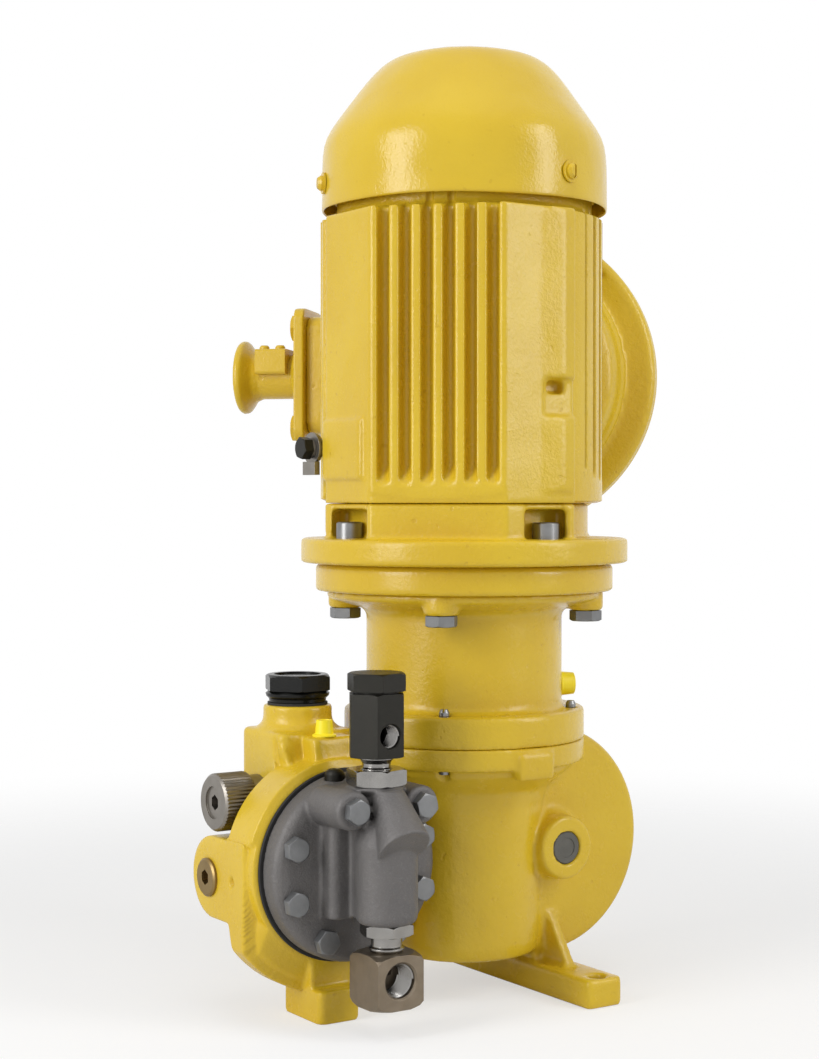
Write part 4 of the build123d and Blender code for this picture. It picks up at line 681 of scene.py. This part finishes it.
def port_thread(name, mouth, radius, pitch):
    """Bright thread cut in a port whose mouth, in millimetres, faces -Y."""
    valley = radius - THREAD_GAP
    levels = 2 * THREAD_TURNS
    bm = bmesh.new()
    rings = []
    for step in range(THREAD_STEPS):
        share = step / THREAD_STEPS
        angle = share * math.tau
        ring = []
        for level in range(levels):
            reach = valley if level % 2 == 0 else valley - THREAD_DEPTH * pitch
            ring.append(bm.verts.new((
                (mouth[0] + reach * math.cos(angle)) * MM,
                (mouth[1] + THREAD_START + (level / 2 + share) * pitch) * MM,
                (mouth[2] + reach * math.sin(angle)) * MM)))
        rings.append(ring)
    for step in range(THREAD_STEPS):
        # The last step joins the first one, a whole pitch deeper.
        closes = step == THREAD_STEPS - 1
        ahead = rings[0] if closes else rings[step + 1]
        shift = 2 if closes else 0
        for index in range(levels - 1 - shift):
            bm.faces.new((rings[step][index], rings[step][index + 1],
                          ahead[index + 1 + shift], ahead[index + shift]))
    bmesh.ops.recalc_face_normals(bm, faces=bm.faces)
    made = bpy.data.objects.new(name, mesh_from(name, bm))
    bpy.context.scene.collection.objects.link(made)
    dress(made, "polished_steel")
    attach(made, "pump")


port_thread("suction_port_thread", (-141, -72.9 - 8.4, 33.4), radius=9.6, pitch=1.8)
port_thread("discharge_port_thread", (-141, -64.1 - 7.1, 168), radius=6.6, pitch=1.4)


# ---------------------------------------------------------------- studio

CAMERA_PLACE = (-0.7293, -0.9830, 0.300)
CAMERA_TILT = 89.133   # degrees from looking straight down
CAMERA_TURN = -33.4
CAMERA_LENS = 66.29    # in millimetres, on a 36 mm high sensor
AIM = Vector((-0.08, 0, 0.28))    # what the lamps face

FLOOR_REACH = 1.1
FLOOR_FADE = (0.35, 1.05)    # the floor fades out between these distances from its middle
FLOOR_GLOW = 0.55      # share of pure white in what the camera sees of the floor
PAPER = (0.92, 0.92, 0.92, 1)
WHITE = (1, 1, 1, 1)
ROOM_LIGHT = 0.38


def camera():
    """Camera low in front of the left corner of the pump."""
    data = bpy.data.cameras.new("view")
    data.lens = CAMERA_LENS
    data.sensor_fit = "VERTICAL"
    data.sensor_height = 36
    data.clip_start = 0.05
    seen = bpy.data.objects.new("view", data)
    seen.location = CAMERA_PLACE
    seen.rotation_euler = (math.radians(CAMERA_TILT), 0, math.radians(CAMERA_TURN))
    bpy.context.scene.collection.objects.link(seen)
    bpy.context.scene.camera = seen
    return seen


def softbox(name, place, width, height, power, mirrored=True):
    """Rectangular lamp that faces the pump; gloss shows it unless it isn't mirrored."""
    data = bpy.data.lights.new(name, "AREA")
    data.shape = "RECTANGLE"
    data.size = width
    data.size_y = height
    data.energy = power
    lamp = bpy.data.objects.new(name, data)
    lamp.location = place
    lamp.rotation_euler = (AIM - Vector(place)).to_track_quat("-Z", "Y").to_euler()
    lamp.visible_glossy = mirrored
    bpy.context.scene.collection.objects.link(lamp)


def floor():
    """Pale floor that carries the shadow and fades into the white round it."""
    reach = FLOOR_REACH
    corners = [(-reach, -reach, 0), (reach, -reach, 0), (reach, reach, 0), (-reach, reach, 0)]
    mesh = bpy.data.meshes.new("floor")
    mesh.from_pydata(corners, [], [(0, 1, 2, 3)])
    made = bpy.data.objects.new("floor", mesh)
    made.location = (-0.06, 0, -0.0002)
    bpy.context.scene.collection.objects.link(made)
    f = Finish("pale_floor")
    distance = f.node("VectorMath", {"operation": "LENGTH"}, {0: f.place()}, output=1)
    fade = f.between(distance, *FLOOR_FADE)
    seen = f.node("LightPath", output=0)
    paper = f.node("BsdfDiffuse", inputs={"Color": PAPER})
    white = f.node("Emission", inputs={"Color": WHITE, "Strength": 1.0})
    lit = f.node("MixShader", inputs={0: seen * FLOOR_GLOW, 1: paper, 2: white})
    clear = f.node("BsdfTransparent")
    whole = f.node("MixShader", inputs={0: fade, 1: lit, 2: clear})
    f.node("OutputMaterial", inputs={0: whole})
    mesh.materials.append(f.material)


def surroundings():
    """Soft light from all round; white where the camera, gloss or glass sees past the pump."""
    world = bpy.data.worlds.new("studio")
    bpy.context.scene.world = world
    world.use_nodes = True
    tree = world.node_tree
    tree.nodes.clear()
    path = tree.nodes.new("ShaderNodeLightPath")
    light = tree.nodes.new("ShaderNodeBackground")
    light.inputs["Color"].default_value = WHITE
    light.inputs["Strength"].default_value = ROOM_LIGHT
    white = tree.nodes.new("ShaderNodeBackground")
    white.inputs["Color"].default_value = WHITE
    mix = tree.nodes.new("ShaderNodeMixShader")
    out = tree.nodes.new("ShaderNodeOutputWorld")
    seen = path.outputs["Is Camera Ray"]
    for way in ("Is Glossy Ray", "Is Transmission Ray"):
        either = tree.nodes.new("ShaderNodeMath")
        either.operation = "MAXIMUM"
        tree.links.new(seen, either.inputs[0])
        tree.links.new(path.outputs[way], either.inputs[1])
        seen = either.outputs[0]
    tree.links.new(seen, mix.inputs[0])
    tree.links.new(light.outputs[0], mix.inputs[1])
    tree.links.new(white.outputs[0], mix.inputs[2])
    tree.links.new(mix.outputs[0], out.inputs[0])


def studio():
    """Camera, floor, world and three softboxes, the strongest high on the left."""
    turn = camera().rotation_euler.to_matrix()
    right = turn @ Vector((1, 0, 0))
    near = turn @ Vector((0, 0, 1))
    up = Vector((0, 0, 1))
    left_place = AIM - right * 0.95 + near * 0.75 + up * 0.35
    right_place = AIM + right * 1.0 + near * 0.45 + up * 0.45
    top_place = AIM + up * 1.15 + near * 0.3
    softbox("left_box", left_place, width=0.5, height=0.9, power=10)
    softbox("right_box", right_place, width=0.35, height=0.9, power=6)
    softbox("top_box", top_place, width=0.9, height=0.6, power=3.5, mirrored=False)
    floor()
    surroundings()
    bpy.context.scene.view_settings.view_transform = "Standard"


studio()
